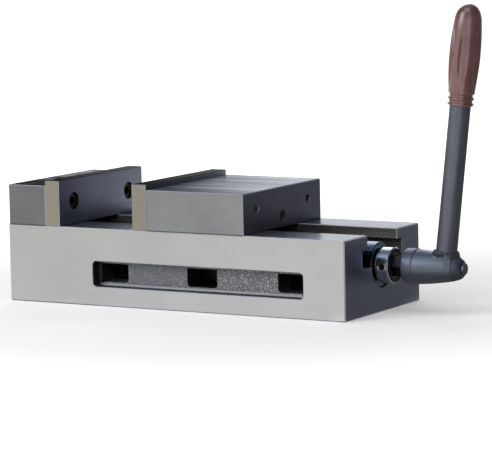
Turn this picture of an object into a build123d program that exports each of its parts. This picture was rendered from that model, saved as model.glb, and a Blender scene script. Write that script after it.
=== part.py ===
from build123d import *
from math import cos, radians, sin, sqrt, tan
import os

# A milling vise of the angle-lock kind with jaws 150 mm wide, stored part open.
# The frame is in millimetres with +Z up. The origin is the middle of the body's base,
# +X runs along the screw from the fixed jaw to the crank, and the jaws lie along Y.

os.makedirs("parts", exist_ok=True)

# Body casting
body_length = 372.0
body_width = 150.0
bed_height = 75.0
body_edge = 1.0
slot_width = 60.0
land_height = 10.0
cavity_width = 80.0
fixed_end_length = 51.0
bridge_length = 43.0
slot_edge = 0.6

# Long pocket in each side, and the three holes through its back wall
pocket_length = 231.0
pocket_height = 24.5
pocket_depth = 12.0
pocket_bottom = 18.5
pocket_end_margin = 44.0
pocket_corner = 4.0
pocket_root = 3.0
pocket_edge = 0.8
wall_hole_length = 33.0
wall_hole_rise = 3.5
wall_hole_corner = 3.5

# Blind slots in the underside for alignment keys
base_slot_width = 16.0
base_slot_length = 40.0
base_slot_depth = 6.0
base_slot_reach_x = 120.0
base_slot_reach_y = 45.0

# Jaws
jaw_opening = 83.0
jaw_height = 39.0
jaw_edge = 0.8
plate_height = 44.0
plate_thickness = 16.0
plate_edge = 0.5
fixed_jaw_length = 43.0
fixed_jaw_inset = 1.0
movable_jaw_length = 106.5
tongue_depth = 9.0
tongue_tail = 6.0
slide_clearance = 0.05

# Screws of the jaw plates, and the tapped holes that let a plate sit on a jaw's back
plate_screw_spacing = 98.4
plate_screw_height = 22.3
plate_screw_radius = 5.0
plate_head_radius = 8.0
plate_head_height = 10.0
plate_head_sink = 2.0
plate_socket_flats = 8.0
plate_socket_depth = 5.0
plate_screw_reach = 18.0
back_hole_radius = 4.25
back_hole_depth = 18.0
back_hole_edge = 0.3

# Bolts and key that hold the fixed jaw
jaw_bolt_radius = 8.0
jaw_bolt_head_radius = 12.0
jaw_bolt_head_height = 16.0
jaw_bolt_seat = 36.0
jaw_bolt_reach = 25.0
jaw_bolt_spacing = 56.0
jaw_bolt_inset = 18.0
jaw_bolt_socket_flats = 14.0
jaw_bolt_socket_depth = 8.0
key_width = 12.0
key_height = 12.0
key_length = 120.0
key_front_gap = 3.0

# Clearances
thread_clearance = 0.05
bolt_clearance = 0.5
fit_clearance = 0.05
head_clearance = 0.5
pocket_clearance = 1.5

# Nut, half ball and adjusting screw of the pull-down
nut_length = 55.0
nut_width = 68.0
nut_floor_gap = 10.0
nut_land_gap = 1.0
nut_edge = 1.5
lug_width = 40.0
lug_foot_rise = 1.0
lug_top_rise = 25.0
ball_radius = 14.0
ball_rise = 13.0
ball_setback = 29.0
nut_back_reach = 29.5
wedge_angle = 45.0
adjuster_gap = 0.2
adjuster_radius = 6.0
adjuster_length = 25.0
adjuster_rise = 10.5
adjuster_socket_flats = 6.0
adjuster_socket_depth = 6.0

# Lead screw
axis_drop = 31.0
screw_radius = 15.0
screw_end_margin = 66.0
screw_end_edge = 1.5
relief_radius = 12.0
relief_length = 5.0
shoulder_radius = 19.0
shoulder_length = 8.0
journal_radius = 12.5
drive_flats = 19.0
drive_length = 31.5
drive_edge = 1.0

# Thrust bearing
race_thickness = 3.0
race_radius = 22.0
race_play = 0.5
ball_count = 12
bearing_ball_radius = 3.0
ball_play = 0.03
ball_circle_radius = 17.5
cage_thickness = 4.0
cage_wall = 0.9

# Bearing housing and its screws
housing_radius = 21.5
housing_inset = 2.0
housing_edge = 1.0
flange_thickness = 8.0
flange_radius = 26.0
foot_width = 72.0
foot_height = 20.0
foot_drop = 24.0
flange_floor_gap = 4.0
housing_screw_radius = 4.0
housing_head_radius = 6.5
housing_head_height = 8.0
housing_screw_reach = 16.0
housing_screw_spacing = 56.0
housing_screw_drop = 16.0
housing_socket_flats = 6.0
housing_socket_depth = 4.0

# Thrust washer and stop collar
washer_radius = 15.5
washer_thickness = 3.5
collar_radius = 17.0
collar_thickness = 12.0
collar_edge = 1.0
collar_screw_radius = 3.0
collar_screw_sink = 1.0
collar_socket_flats = 3.0
collar_socket_depth = 2.0

# Crank
crank_gap = 13.0
hub_collar_radius = 17.0
hub_collar_length = 10.5
hub_step = 0.7
hub_middle_radius = 13.5
hub_nose_radius = 11.5
hub_nose_arc = 79.0
hub_length = 60.4
hub_edge = 1.2
hub_socket_depth = 20.0
hub_socket_clearance = 0.15
arm_lean = 6.65
arm_from_hub_face = 38.4
boss_radius = 13.2
boss_reach = 17.0
boss_rim = 2.0
boss_blend = 3.0
rod_radius = 9.85
rod_start = 3.0
rod_end_gap = 3.0
grip_start = 152.0
grip_length = 93.6
grip_root_radius = 10.9
grip_rib_radius = 1.4
grip_rib_count = 2
grip_rib_margin = 1.6
grip_rib_pitch = 5.3
grip_waist = 10.6
grip_lip_radius = 12.3
grip_lip_edge = 0.8
grip_belly_radius = 14.4
grip_belly_at = 45.5
grip_top_radius = 12.6
grip_dome = 14.6
flute_count = 6
flute_turn = -63.0
flute_length = 50.0
flute_depth = 2.0
flute_end_rise = 0.3
flute_round = 8.3
flute_middle = 45.0

# Places that follow from the sizes
body_end = body_length / 2
slot_start = -body_end + fixed_end_length
bridge_face = body_end - bridge_length
land_bottom = bed_height - land_height
axis_height = bed_height - axis_drop
cavity_floor = axis_height - flange_radius - flange_floor_gap
fixed_back = -body_end + fixed_jaw_inset
fixed_front = fixed_back + fixed_jaw_length
fixed_face = fixed_front + plate_thickness
movable_face = fixed_face + jaw_opening
movable_front = movable_face + plate_thickness
movable_back = movable_front + movable_jaw_length
jaw_top = bed_height + jaw_height
back_hole_mouth = back_hole_radius + back_hole_edge
jaw_sole = bed_height + slide_clearance
plate_screw_z = bed_height + plate_screw_height
plate_screw_places = [(side * plate_screw_spacing / 2, plate_screw_z) for side in (-1, 1)]
jaw_bolt_x = -body_end + jaw_bolt_inset
jaw_bolt_ys = [side * jaw_bolt_spacing / 2 for side in (-1, 1)]
key_x = fixed_front - key_front_gap - key_width / 2
pocket_end = body_end - pocket_end_margin
pocket_start = pocket_end - pocket_length
pocket_middle = (pocket_start + pocket_end) / 2
wall_hole_height = pocket_height - wall_hole_rise
wall_hole_z = pocket_bottom + wall_hole_rise + wall_hole_height / 2
wall_hole_step = (pocket_length - wall_hole_length) / 2

flange_face = bridge_face - flange_thickness
outer_race_face = flange_face - race_thickness
inner_race_face = outer_race_face - 2 * bearing_ball_radius
shoulder_face = inner_race_face - race_thickness
shoulder_start = shoulder_face - shoulder_length
housing_end = body_end - housing_inset
collar_face = housing_end + washer_thickness
journal_end = collar_face + collar_thickness
hub_face = journal_end + crank_gap
screw_start = -body_end + screw_end_margin
foot_bottom = axis_height - foot_drop
housing_screw_height = axis_height - housing_screw_drop

nut_bottom = cavity_floor + nut_floor_gap
nut_top = land_bottom - nut_land_gap
lug_foot = bed_height + lug_foot_rise
lug_top = bed_height + lug_top_rise
ball_height = bed_height + ball_rise
adjuster_height = bed_height + adjuster_rise
ball_x = movable_front + ball_setback
nut_back = ball_x + nut_back_reach
nut_front = nut_back - nut_length
adjuster_tip = nut_back + adjuster_gap
pocket_back = nut_back + pocket_clearance
tongue_back = pocket_back + tongue_tail


def hexagon_radius(flats):
    """Return the corner radius of a hexagon from its width across flats."""
    return flats / sqrt(3)


def wedge_x(height, gap=0.0):
    """Return where the sloped face of the nut's lug stands at a height, or a plane that far before it."""
    slope = radians(wedge_angle)
    return ball_x - (height - ball_height) / tan(slope) - gap / sin(slope)


# Body: one casting with two rails, an undercut slot, a fixed end and a bearing bridge
with BuildPart() as vise_body:
    with BuildSketch(Plane.XY):
        Rectangle(body_length, body_width)
    extrude(amount=bed_height)
    chamfer(vise_body.edges(), body_edge)

    # Slot between the rails, open towards the crank, and the wider hollow under the lands
    with BuildSketch(Plane.XY.offset(bed_height)):
        with Locations(((slot_start + body_end) / 2, 0)):
            Rectangle(body_end - slot_start, slot_width)
    extrude(amount=-land_height, mode=Mode.SUBTRACT)
    with BuildSketch(Plane.XY.offset(land_bottom)):
        with Locations(((slot_start + body_end) / 2, 0)):
            Rectangle(body_end - slot_start, cavity_width)
    extrude(amount=axis_height - land_bottom, mode=Mode.SUBTRACT)
    with BuildSketch(Plane.XY.offset(land_bottom)):
        with Locations(((slot_start + bridge_face) / 2, 0)):
            Rectangle(bridge_face - slot_start, cavity_width)
    extrude(amount=cavity_floor - land_bottom, mode=Mode.SUBTRACT)

    slot_rims = vise_body.edges().filter_by(Axis.X).filter_by_position(Axis.Z, bed_height, bed_height)
    chamfer(slot_rims.filter_by_position(Axis.Y, -slot_width / 2, slot_width / 2), slot_edge)

    # Half-round seat for the bearing housing and the tapped holes for its screws
    with BuildSketch(Plane.YZ.offset(bridge_face)):
        with Locations((0, axis_height)):
            Circle(housing_radius + fit_clearance)
    extrude(amount=bridge_length, mode=Mode.SUBTRACT)
    with BuildSketch(Plane.YZ.offset(bridge_face)):
        with Locations((0, housing_screw_height)):
            with GridLocations(housing_screw_spacing, 1, 2, 1):
                Circle(housing_screw_radius + thread_clearance)
    extrude(amount=housing_screw_reach + 2, mode=Mode.SUBTRACT)

    # Long pocket in both sides, with a rounded root, then the holes through its back wall
    for side in (-1, 1):
        with BuildSketch(Plane.XZ.offset(side * body_width / 2)):
            with Locations((pocket_middle, pocket_bottom + pocket_height / 2)):
                RectangleRounded(pocket_length, pocket_height, pocket_corner)
        extrude(amount=-side * pocket_depth, mode=Mode.SUBTRACT)
    for side in (-1, 1):
        floor_y = side * (body_width / 2 - pocket_depth)
        floor_edges = vise_body.edges().filter_by_position(Axis.Y, floor_y - 0.01, floor_y + 0.01)
        fillet(floor_edges, pocket_root)
        rim_y = side * body_width / 2
        rim_face = vise_body.faces().filter_by(Axis.Y).sort_by(Axis.Y)[0 if side < 0 else -1]
        chamfer(rim_face.inner_wires()[0].edges(), pocket_edge)
    with BuildSketch(Plane.XZ):
        with Locations((pocket_middle, wall_hole_z)):
            with GridLocations(wall_hole_step, 1, 3, 1):
                RectangleRounded(wall_hole_length, wall_hole_height, wall_hole_corner)
    extrude(amount=body_width / 2 - pocket_depth, both=True, mode=Mode.SUBTRACT)

    # Seat of the fixed jaw: keyway and bolt holes from below
    with BuildSketch(Plane.XY.offset(bed_height)):
        with Locations((key_x, 0)):
            Rectangle(key_width + 2 * fit_clearance, key_length + 2 * fit_clearance)
    extrude(amount=-key_height / 2 - fit_clearance, mode=Mode.SUBTRACT)
    with Locations(*[Plane((jaw_bolt_x, y, 0), z_dir=(0, 0, -1)) for y in jaw_bolt_ys]):
        CounterBoreHole(
            radius=jaw_bolt_radius + bolt_clearance,
            counter_bore_radius=jaw_bolt_head_radius + head_clearance,
            counter_bore_depth=jaw_bolt_seat,
        )

    # Blind slots for alignment keys, lengthwise at the ends and crosswise in the middle
    with BuildSketch(Plane.XY):
        with Locations((-base_slot_reach_x, 0), (base_slot_reach_x, 0)):
            SlotOverall(base_slot_length, base_slot_width)
        with Locations((0, -base_slot_reach_y), (0, base_slot_reach_y)):
            SlotOverall(base_slot_length, base_slot_width, rotation=90)
    extrude(amount=base_slot_depth, mode=Mode.SUBTRACT)
vise_body.part.label = "vise_body"
export_step(vise_body.part, "parts/vise_body.step")

# Fixed jaw: a block behind its plate, keyed and bolted to the body
with BuildPart() as fixed_jaw:
    with BuildSketch(Plane.XY.offset(bed_height)):
        with Locations(((fixed_back + fixed_front) / 2, 0)):
            Rectangle(fixed_jaw_length, body_width)
    extrude(amount=jaw_height)
    chamfer(fixed_jaw.edges().group_by(Axis.Z)[-1] + fixed_jaw.edges().filter_by(Axis.Z), jaw_edge)
    with BuildSketch(Plane.XY.offset(bed_height)):
        with Locations((key_x, 0)):
            Rectangle(key_width + 2 * fit_clearance, key_length + 2 * fit_clearance)
    extrude(amount=key_height / 2 + fit_clearance, mode=Mode.SUBTRACT)
    with BuildSketch(Plane.XY.offset(bed_height)):
        with Locations(*[(jaw_bolt_x, y) for y in jaw_bolt_ys]):
            Circle(jaw_bolt_radius + thread_clearance)
    extrude(amount=jaw_bolt_reach + 2, mode=Mode.SUBTRACT)
    with BuildSketch(Plane.YZ.offset(fixed_front)):
        with Locations(*plate_screw_places):
            Circle(plate_screw_radius + thread_clearance)
    extrude(amount=-plate_screw_reach - 1, mode=Mode.SUBTRACT)
    with Locations(*[Plane((fixed_back, y, z), z_dir=(-1, 0, 0)) for y, z in plate_screw_places]):
        CounterSinkHole(radius=back_hole_radius, counter_sink_radius=back_hole_mouth, depth=back_hole_depth)
fixed_jaw.part.label = "fixed_jaw"
export_step(fixed_jaw.part, "parts/fixed_jaw.step")

with BuildPart() as fixed_jaw_key:
    with BuildSketch(Plane.XY.offset(bed_height - key_height / 2)):
        with Locations((key_x, 0)):
            Rectangle(key_width, key_length)
    extrude(amount=key_height)
    chamfer(fixed_jaw_key.edges().filter_by(Axis.Z), jaw_edge)
fixed_jaw_key.part.label = "fixed_jaw_key"
export_step(fixed_jaw_key.part, "parts/fixed_jaw_key.step")

# Socket head bolts that pull the fixed jaw down from under the base
with BuildPart() as fixed_jaw_bolts:
    with BuildSketch(Plane.XY.offset(jaw_bolt_seat)):
        with Locations(*[(jaw_bolt_x, y) for y in jaw_bolt_ys]):
            Circle(jaw_bolt_head_radius)
    extrude(amount=-jaw_bolt_head_height)
    with BuildSketch(Plane.XY.offset(jaw_bolt_seat)):
        with Locations(*[(jaw_bolt_x, y) for y in jaw_bolt_ys]):
            Circle(jaw_bolt_radius)
    extrude(amount=bed_height + jaw_bolt_reach - jaw_bolt_seat)
    with BuildSketch(Plane.XY.offset(jaw_bolt_seat - jaw_bolt_head_height)):
        with Locations(*[(jaw_bolt_x, y) for y in jaw_bolt_ys]):
            RegularPolygon(radius=hexagon_radius(jaw_bolt_socket_flats), side_count=6)
    extrude(amount=jaw_bolt_socket_depth, mode=Mode.SUBTRACT)
fixed_jaw_bolts.part.label = "fixed_jaw_bolts"
export_step(fixed_jaw_bolts.part, "parts/fixed_jaw_bolts.step")


def jaw_plate(face_x, toward_jaw):
    """Return a jaw plate whose gripping face is at face_x, its body lying toward_jaw (1 or -1) along X."""
    face_plane = Plane((face_x, 0, 0), x_dir=(0, 1, 0), z_dir=(1, 0, 0))
    with BuildPart() as plate:
        with BuildSketch(face_plane):
            with Locations((0, jaw_sole + plate_height / 2)):
                Rectangle(body_width, plate_height)
        extrude(amount=toward_jaw * plate_thickness)
        chamfer(plate.edges(), plate_edge)
        with BuildSketch(face_plane):
            with Locations(*plate_screw_places):
                Circle(plate_screw_radius + bolt_clearance)
        extrude(amount=toward_jaw * plate_thickness, mode=Mode.SUBTRACT)
        with BuildSketch(face_plane):
            with Locations(*plate_screw_places):
                Circle(plate_head_radius + head_clearance)
        extrude(amount=toward_jaw * (plate_head_sink + plate_head_height), mode=Mode.SUBTRACT)
    return plate.part


def plate_screws(face_x, toward_jaw):
    """Return the two socket head screws of the plate whose gripping face is at face_x."""
    head_face = face_x + toward_jaw * plate_head_sink
    head_seat = head_face + toward_jaw * plate_head_height
    shank_length = plate_thickness - plate_head_sink - plate_head_height + plate_screw_reach
    with BuildPart() as screws:
        with BuildSketch(Plane.YZ.offset(head_face)):
            with Locations(*plate_screw_places):
                Circle(plate_head_radius)
        extrude(amount=toward_jaw * plate_head_height)
        with BuildSketch(Plane.YZ.offset(head_seat)):
            with Locations(*plate_screw_places):
                Circle(plate_screw_radius)
        extrude(amount=toward_jaw * shank_length)
        with BuildSketch(Plane.YZ.offset(head_face)):
            with Locations(*plate_screw_places):
                RegularPolygon(radius=hexagon_radius(plate_socket_flats), side_count=6)
        extrude(amount=toward_jaw * plate_socket_depth, mode=Mode.SUBTRACT)
    return screws.part


for owner, face_x, toward_jaw in (("fixed", fixed_face, -1), ("movable", movable_face, 1)):
    plate_part = jaw_plate(face_x, toward_jaw)
    plate_part.label = f"{owner}_jaw_plate"
    export_step(plate_part, f"parts/{owner}_jaw_plate.step")
    screws_part = plate_screws(face_x, toward_jaw)
    screws_part.label = f"{owner}_plate_screws"
    export_step(screws_part, f"parts/{owner}_plate_screws.step")

# Movable jaw: a saddle on the rails, with a tongue in the slot and a pocket for the nut's lug
with BuildPart() as movable_jaw:
    with BuildSketch(Plane.XY.offset(jaw_sole)):
        with Locations(((movable_front + movable_back) / 2, 0)):
            Rectangle(movable_jaw_length, body_width)
    extrude(amount=jaw_top - jaw_sole)
    chamfer(movable_jaw.edges().group_by(Axis.Z)[-1] + movable_jaw.edges().filter_by(Axis.Z), jaw_edge)
    with BuildSketch(Plane.XY.offset(jaw_sole)):
        with Locations(((movable_front + tongue_back) / 2, 0)):
            Rectangle(tongue_back - movable_front, slot_width - 2 * slide_clearance)
    extrude(amount=-tongue_depth)
    with BuildSketch(Plane.XZ):
        with BuildLine():
            Polyline(
                (wedge_x(lug_foot) - pocket_clearance, nut_top),
                (wedge_x(lug_foot) - pocket_clearance, lug_foot - pocket_clearance / 2),
                (wedge_x(lug_top + pocket_clearance, pocket_clearance), lug_top + pocket_clearance),
                (pocket_back, lug_top + pocket_clearance),
                (pocket_back, nut_top),
                close=True,
            )
        make_face()
    extrude(amount=lug_width / 2 + pocket_clearance, both=True, mode=Mode.SUBTRACT)
    with Locations((ball_x, 0, ball_height)):
        Sphere(ball_radius + fit_clearance, mode=Mode.SUBTRACT)
    with BuildSketch(Plane.YZ.offset(movable_front)):
        with Locations(*plate_screw_places):
            Circle(plate_screw_radius + thread_clearance)
    extrude(amount=plate_screw_reach + 1, mode=Mode.SUBTRACT)
    with Locations(*[Plane((movable_back, y, z), z_dir=(1, 0, 0)) for y, z in plate_screw_places]):
        CounterSinkHole(radius=back_hole_radius, counter_sink_radius=back_hole_mouth, depth=back_hole_depth)
    with BuildSketch(Plane.YZ.offset(movable_back)):
        with Locations((0, adjuster_height)):
            Circle(adjuster_radius + thread_clearance)
    extrude(amount=pocket_back - movable_back, mode=Mode.SUBTRACT)
movable_jaw.part.label = "movable_jaw"
export_step(movable_jaw.part, "parts/movable_jaw.step")

# Nut: a block under the lands, and a lug whose undercut face drives the half ball forward and down
with BuildPart() as clamp_nut:
    with BuildSketch(Plane.XY.offset(nut_bottom)):
        with Locations(((nut_front + nut_back) / 2, 0)):
            Rectangle(nut_length, nut_width)
    extrude(amount=nut_top - nut_bottom)
    chamfer(clamp_nut.edges(), nut_edge)
    with BuildSketch(Plane.XZ):
        with BuildLine():
            Polyline(
                (wedge_x(lug_foot), axis_height),
                (wedge_x(lug_foot), lug_foot),
                (wedge_x(lug_top), lug_top),
                (nut_back - nut_edge, lug_top),
                (nut_back - nut_edge, axis_height),
                close=True,
            )
        make_face()
    extrude(amount=lug_width / 2, both=True)
    with BuildSketch(Plane.YZ.offset(nut_front)):
        with Locations((0, axis_height)):
            Circle(screw_radius + thread_clearance)
    extrude(amount=nut_length, mode=Mode.SUBTRACT)
clamp_nut.part.label = "clamp_nut"
export_step(clamp_nut.part, "parts/clamp_nut.step")

# Half ball: its flat lies on the nut's sloped face, its round side in the jaw's seat
with BuildPart() as pull_down_segment:
    with Locations((ball_x, 0, ball_height)):
        Sphere(ball_radius)
    slope_normal = (sin(radians(wedge_angle)), 0, cos(radians(wedge_angle)))
    split(bisect_by=Plane((ball_x, 0, ball_height), z_dir=slope_normal), keep=Keep.BOTTOM)
pull_down_segment.part.label = "pull_down_segment"
export_step(pull_down_segment.part, "parts/pull_down_segment.step")

# Set screw behind the nut's lug, which takes up the play of the pull-down
with BuildPart() as jaw_set_screw:
    with BuildSketch(Plane.YZ.offset(adjuster_tip)):
        with Locations((0, adjuster_height)):
            Circle(adjuster_radius)
    extrude(amount=adjuster_length)
    chamfer(jaw_set_screw.edges().group_by(Axis.X)[0], jaw_edge)
    with BuildSketch(Plane.YZ.offset(adjuster_tip + adjuster_length)):
        with Locations((0, adjuster_height)):
            RegularPolygon(radius=hexagon_radius(adjuster_socket_flats), side_count=6)
    extrude(amount=-adjuster_socket_depth, mode=Mode.SUBTRACT)
jaw_set_screw.part.label = "jaw_set_screw"
export_step(jaw_set_screw.part, "parts/jaw_set_screw.step")

# Lead screw: thread, relief groove, shoulder, journal and hexagon drive on one axis
screw_axis = Axis((0, 0, axis_height), (1, 0, 0))
with BuildPart() as lead_screw:
    with BuildSketch(Plane.XZ):
        with BuildLine():
            Polyline(
                (screw_start, axis_height),
                (screw_start, axis_height + screw_radius - screw_end_edge),
                (screw_start + screw_end_edge, axis_height + screw_radius),
                (shoulder_start - relief_length, axis_height + screw_radius),
                (shoulder_start - relief_length, axis_height + relief_radius),
                (shoulder_start, axis_height + relief_radius),
                (shoulder_start, axis_height + shoulder_radius),
                (shoulder_face, axis_height + shoulder_radius),
                (shoulder_face, axis_height + journal_radius),
                (journal_end, axis_height + journal_radius),
                (journal_end, axis_height),
                close=True,
            )
        make_face()
    revolve(axis=screw_axis)
    with BuildSketch(Plane.YZ.offset(journal_end)):
        with Locations((0, axis_height)):
            RegularPolygon(radius=hexagon_radius(drive_flats), side_count=6)
    extrude(amount=drive_length)
    chamfer(lead_screw.faces().sort_by(Axis.X)[-1].edges(), drive_edge)
lead_screw.part.label = "lead_screw"
export_step(lead_screw.part, "parts/lead_screw.step")


def ring(start_x, end_x, outer_radius, bore_radius, label):
    """Make one flat ring on the screw's axis and write it."""
    with BuildPart() as washer:
        with BuildSketch(Plane.YZ.offset(start_x)):
            with Locations((0, axis_height)):
                Circle(outer_radius)
                Circle(bore_radius, mode=Mode.SUBTRACT)
        extrude(amount=end_x - start_x)
    washer.part.label = label
    export_step(washer.part, f"parts/{label}.step")


# Thrust bearing between the screw's shoulder and the housing's flange
shaft_bore = journal_radius + fit_clearance
ring(shoulder_face, inner_race_face, race_radius, shaft_bore, "bearing_shaft_washer")
ring(outer_race_face, flange_face, race_radius, shaft_bore + race_play, "bearing_housing_washer")
ring(housing_end, collar_face - fit_clearance, washer_radius, shaft_bore, "thrust_washer")

ball_plane_x = (inner_race_face + outer_race_face) / 2
ball_plane = Plane((ball_plane_x, 0, axis_height), x_dir=(0, 1, 0), z_dir=(1, 0, 0))
with BuildPart() as bearing_balls:
    with Locations(ball_plane):
        with PolarLocations(ball_circle_radius, ball_count):
            Sphere(bearing_ball_radius - ball_play)
bearing_balls.part.label = "bearing_balls"
export_step(bearing_balls.part, "parts/bearing_balls.step")

with BuildPart() as bearing_cage:
    with BuildSketch(ball_plane.offset(-cage_thickness / 2)):
        Circle(ball_circle_radius + bearing_ball_radius + cage_wall)
        Circle(ball_circle_radius - bearing_ball_radius - cage_wall, mode=Mode.SUBTRACT)
        with PolarLocations(ball_circle_radius, ball_count):
            Circle(bearing_ball_radius + ball_play, mode=Mode.SUBTRACT)
    extrude(amount=cage_thickness)
bearing_cage.part.label = "bearing_cage"
export_step(bearing_cage.part, "parts/bearing_cage.step")

# Bearing housing: a barrel in the bridge, and a flange with a foot behind it
with BuildPart() as bearing_housing:
    with BuildSketch(Plane.YZ.offset(flange_face)):
        with Locations((0, axis_height)):
            Circle(flange_radius)
        with Locations((0, foot_bottom + foot_height / 2)):
            Rectangle(foot_width, foot_height)
    extrude(amount=flange_thickness)
    with BuildSketch(Plane.YZ.offset(bridge_face)):
        with Locations((0, axis_height)):
            Circle(housing_radius)
    extrude(amount=housing_end - bridge_face)
    chamfer(bearing_housing.faces().sort_by(Axis.X)[-1].edges(), housing_edge)
    with BuildSketch(Plane.YZ.offset(flange_face)):
        with Locations((0, axis_height)):
            Circle(shaft_bore)
    extrude(amount=housing_end - flange_face, mode=Mode.SUBTRACT)
    with BuildSketch(Plane.YZ.offset(flange_face)):
        with Locations((0, housing_screw_height)):
            with GridLocations(housing_screw_spacing, 1, 2, 1):
                Circle(housing_screw_radius + bolt_clearance)
    extrude(amount=flange_thickness, mode=Mode.SUBTRACT)
bearing_housing.part.label = "bearing_housing"
export_step(bearing_housing.part, "parts/bearing_housing.step")

with BuildPart() as housing_screws:
    with BuildSketch(Plane.YZ.offset(flange_face)):
        with Locations((0, housing_screw_height)):
            with GridLocations(housing_screw_spacing, 1, 2, 1):
                Circle(housing_head_radius)
    extrude(amount=-housing_head_height)
    with BuildSketch(Plane.YZ.offset(flange_face)):
        with Locations((0, housing_screw_height)):
            with GridLocations(housing_screw_spacing, 1, 2, 1):
                Circle(housing_screw_radius)
    extrude(amount=flange_thickness + housing_screw_reach)
    with BuildSketch(Plane.YZ.offset(flange_face - housing_head_height)):
        with Locations((0, housing_screw_height)):
            with GridLocations(housing_screw_spacing, 1, 2, 1):
                RegularPolygon(radius=hexagon_radius(housing_socket_flats), side_count=6)
    extrude(amount=housing_socket_depth, mode=Mode.SUBTRACT)
housing_screws.part.label = "housing_screws"
export_step(housing_screws.part, "parts/housing_screws.step")

# Stop collar on the journal, with one set screw in a radial hole
collar_middle = collar_face + collar_thickness / 2
collar_screw_plane = Plane((collar_middle, -collar_radius, axis_height), z_dir=(0, -1, 0))
with BuildPart() as stop_collar:
    with BuildSketch(Plane.YZ.offset(collar_face)):
        with Locations((0, axis_height)):
            Circle(collar_radius)
    extrude(amount=collar_thickness)
    chamfer(stop_collar.edges(), collar_edge)
    with BuildSketch(Plane.YZ.offset(collar_face)):
        with Locations((0, axis_height)):
            Circle(shaft_bore)
    extrude(amount=collar_thickness, mode=Mode.SUBTRACT)
    with BuildSketch(collar_screw_plane):
        Circle(collar_screw_radius + thread_clearance)
    extrude(amount=-collar_radius, mode=Mode.SUBTRACT)
stop_collar.part.label = "stop_collar"
export_step(stop_collar.part, "parts/stop_collar.step")

with BuildPart() as collar_set_screw:
    with BuildSketch(collar_screw_plane.offset(-collar_screw_sink)):
        Circle(collar_screw_radius)
    extrude(amount=collar_screw_sink + shaft_bore - collar_radius)
    with BuildSketch(collar_screw_plane.offset(-collar_screw_sink)):
        RegularPolygon(radius=hexagon_radius(collar_socket_flats), side_count=6)
    extrude(amount=-collar_socket_depth, mode=Mode.SUBTRACT)
collar_set_screw.part.label = "collar_set_screw"
export_step(collar_set_screw.part, "parts/collar_set_screw.step")

# Crank hub: a forged barrel with a domed nose and a leaning boss for the arm
lean = radians(arm_lean)
arm_foot_x = hub_face + arm_from_hub_face
arm_plane = Plane((arm_foot_x, 0, axis_height), x_dir=(cos(lean), 0, -sin(lean)), z_dir=(0, -1, 0))
arm_axis = Axis(arm_plane.origin, arm_plane.y_dir)
hub_end = hub_face + hub_length
nose_x = hub_end - hub_nose_radius
nose_angle = radians(hub_nose_arc)
barrel_start = (hub_face + hub_collar_length + hub_step, axis_height + hub_collar_radius - hub_step)
barrel_end = (nose_x + hub_nose_radius * cos(nose_angle), axis_height + hub_nose_radius * sin(nose_angle))
with BuildPart() as crank_hub:
    with BuildSketch(Plane.XZ):
        with BuildLine():
            Polyline(
                (hub_end, axis_height),
                (hub_face, axis_height),
                (hub_face, axis_height + hub_collar_radius - hub_edge),
                (hub_face + hub_edge, axis_height + hub_collar_radius),
                (hub_face + hub_collar_length, axis_height + hub_collar_radius),
                barrel_start,
            )
            ThreePointArc(barrel_start, (arm_foot_x, axis_height + hub_middle_radius), barrel_end)
            CenterArc((nose_x, axis_height), hub_nose_radius, start_angle=0, arc_size=hub_nose_arc)
        make_face()
    revolve(axis=screw_axis)
    with BuildSketch(arm_plane):
        with BuildLine():
            Polyline((boss_radius, boss_reach - boss_rim), (boss_radius, 0), (0, 0), (0, boss_reach))
            Line((0, boss_reach), (boss_radius - boss_rim, boss_reach))
            CenterArc((boss_radius - boss_rim, boss_reach - boss_rim), boss_rim, start_angle=0, arc_size=90)
        make_face()
    revolve(axis=arm_axis)
    fillet(crank_hub.edges(Select.LAST).filter_by(GeomType.BSPLINE), boss_blend)
    with BuildSketch(Plane.YZ.offset(hub_face)):
        with Locations((0, axis_height)):
            RegularPolygon(radius=hexagon_radius(drive_flats + 2 * hub_socket_clearance), side_count=6)
    extrude(amount=hub_socket_depth, mode=Mode.SUBTRACT)
    with BuildSketch(Plane(arm_plane.from_local_coords((0, rod_start, 0)), z_dir=arm_plane.y_dir)):
        Circle(rod_radius + fit_clearance)
    extrude(amount=boss_reach, mode=Mode.SUBTRACT)
crank_hub.part.label = "crank_hub"
export_step(crank_hub.part, "parts/crank_hub.step")

# Arm: a round rod set in the boss, leaning away from the vise
grip_end = grip_start + grip_length
grip_shoulder = grip_end - grip_dome
rod_end = grip_shoulder - rod_end_gap
with BuildPart() as crank_rod:
    with BuildSketch(Plane(arm_plane.from_local_coords((0, rod_start, 0)), z_dir=arm_plane.y_dir)):
        Circle(rod_radius)
    extrude(amount=rod_end - rod_start)
    chamfer(crank_rod.edges(), hub_edge)
crank_rod.part.label = "crank_rod"
export_step(crank_rod.part, "parts/crank_rod.step")

# Grip: a moulded sleeve with two ribs at its root, a domed top and leaf-shaped flutes
flute_foot = grip_start + flute_middle - flute_length / 2
flute_head = flute_foot + flute_length
flute_floor = grip_belly_radius - flute_depth
flute_centre = flute_floor + flute_round
flute_end = flute_floor + flute_end_rise
with BuildPart() as flute_cutter:
    with BuildSketch(arm_plane):
        with BuildLine():
            ThreePointArc(
                (flute_end, flute_foot),
                (flute_floor, (flute_foot + flute_head) / 2),
                (flute_end, flute_head),
            )
            Polyline(
                (flute_end, flute_head),
                (flute_centre, flute_head),
                (flute_centre, flute_foot),
                (flute_end, flute_foot),
            )
        make_face()
    revolve(axis=Axis(arm_plane.from_local_coords((flute_centre, 0, 0)), arm_plane.y_dir))

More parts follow.
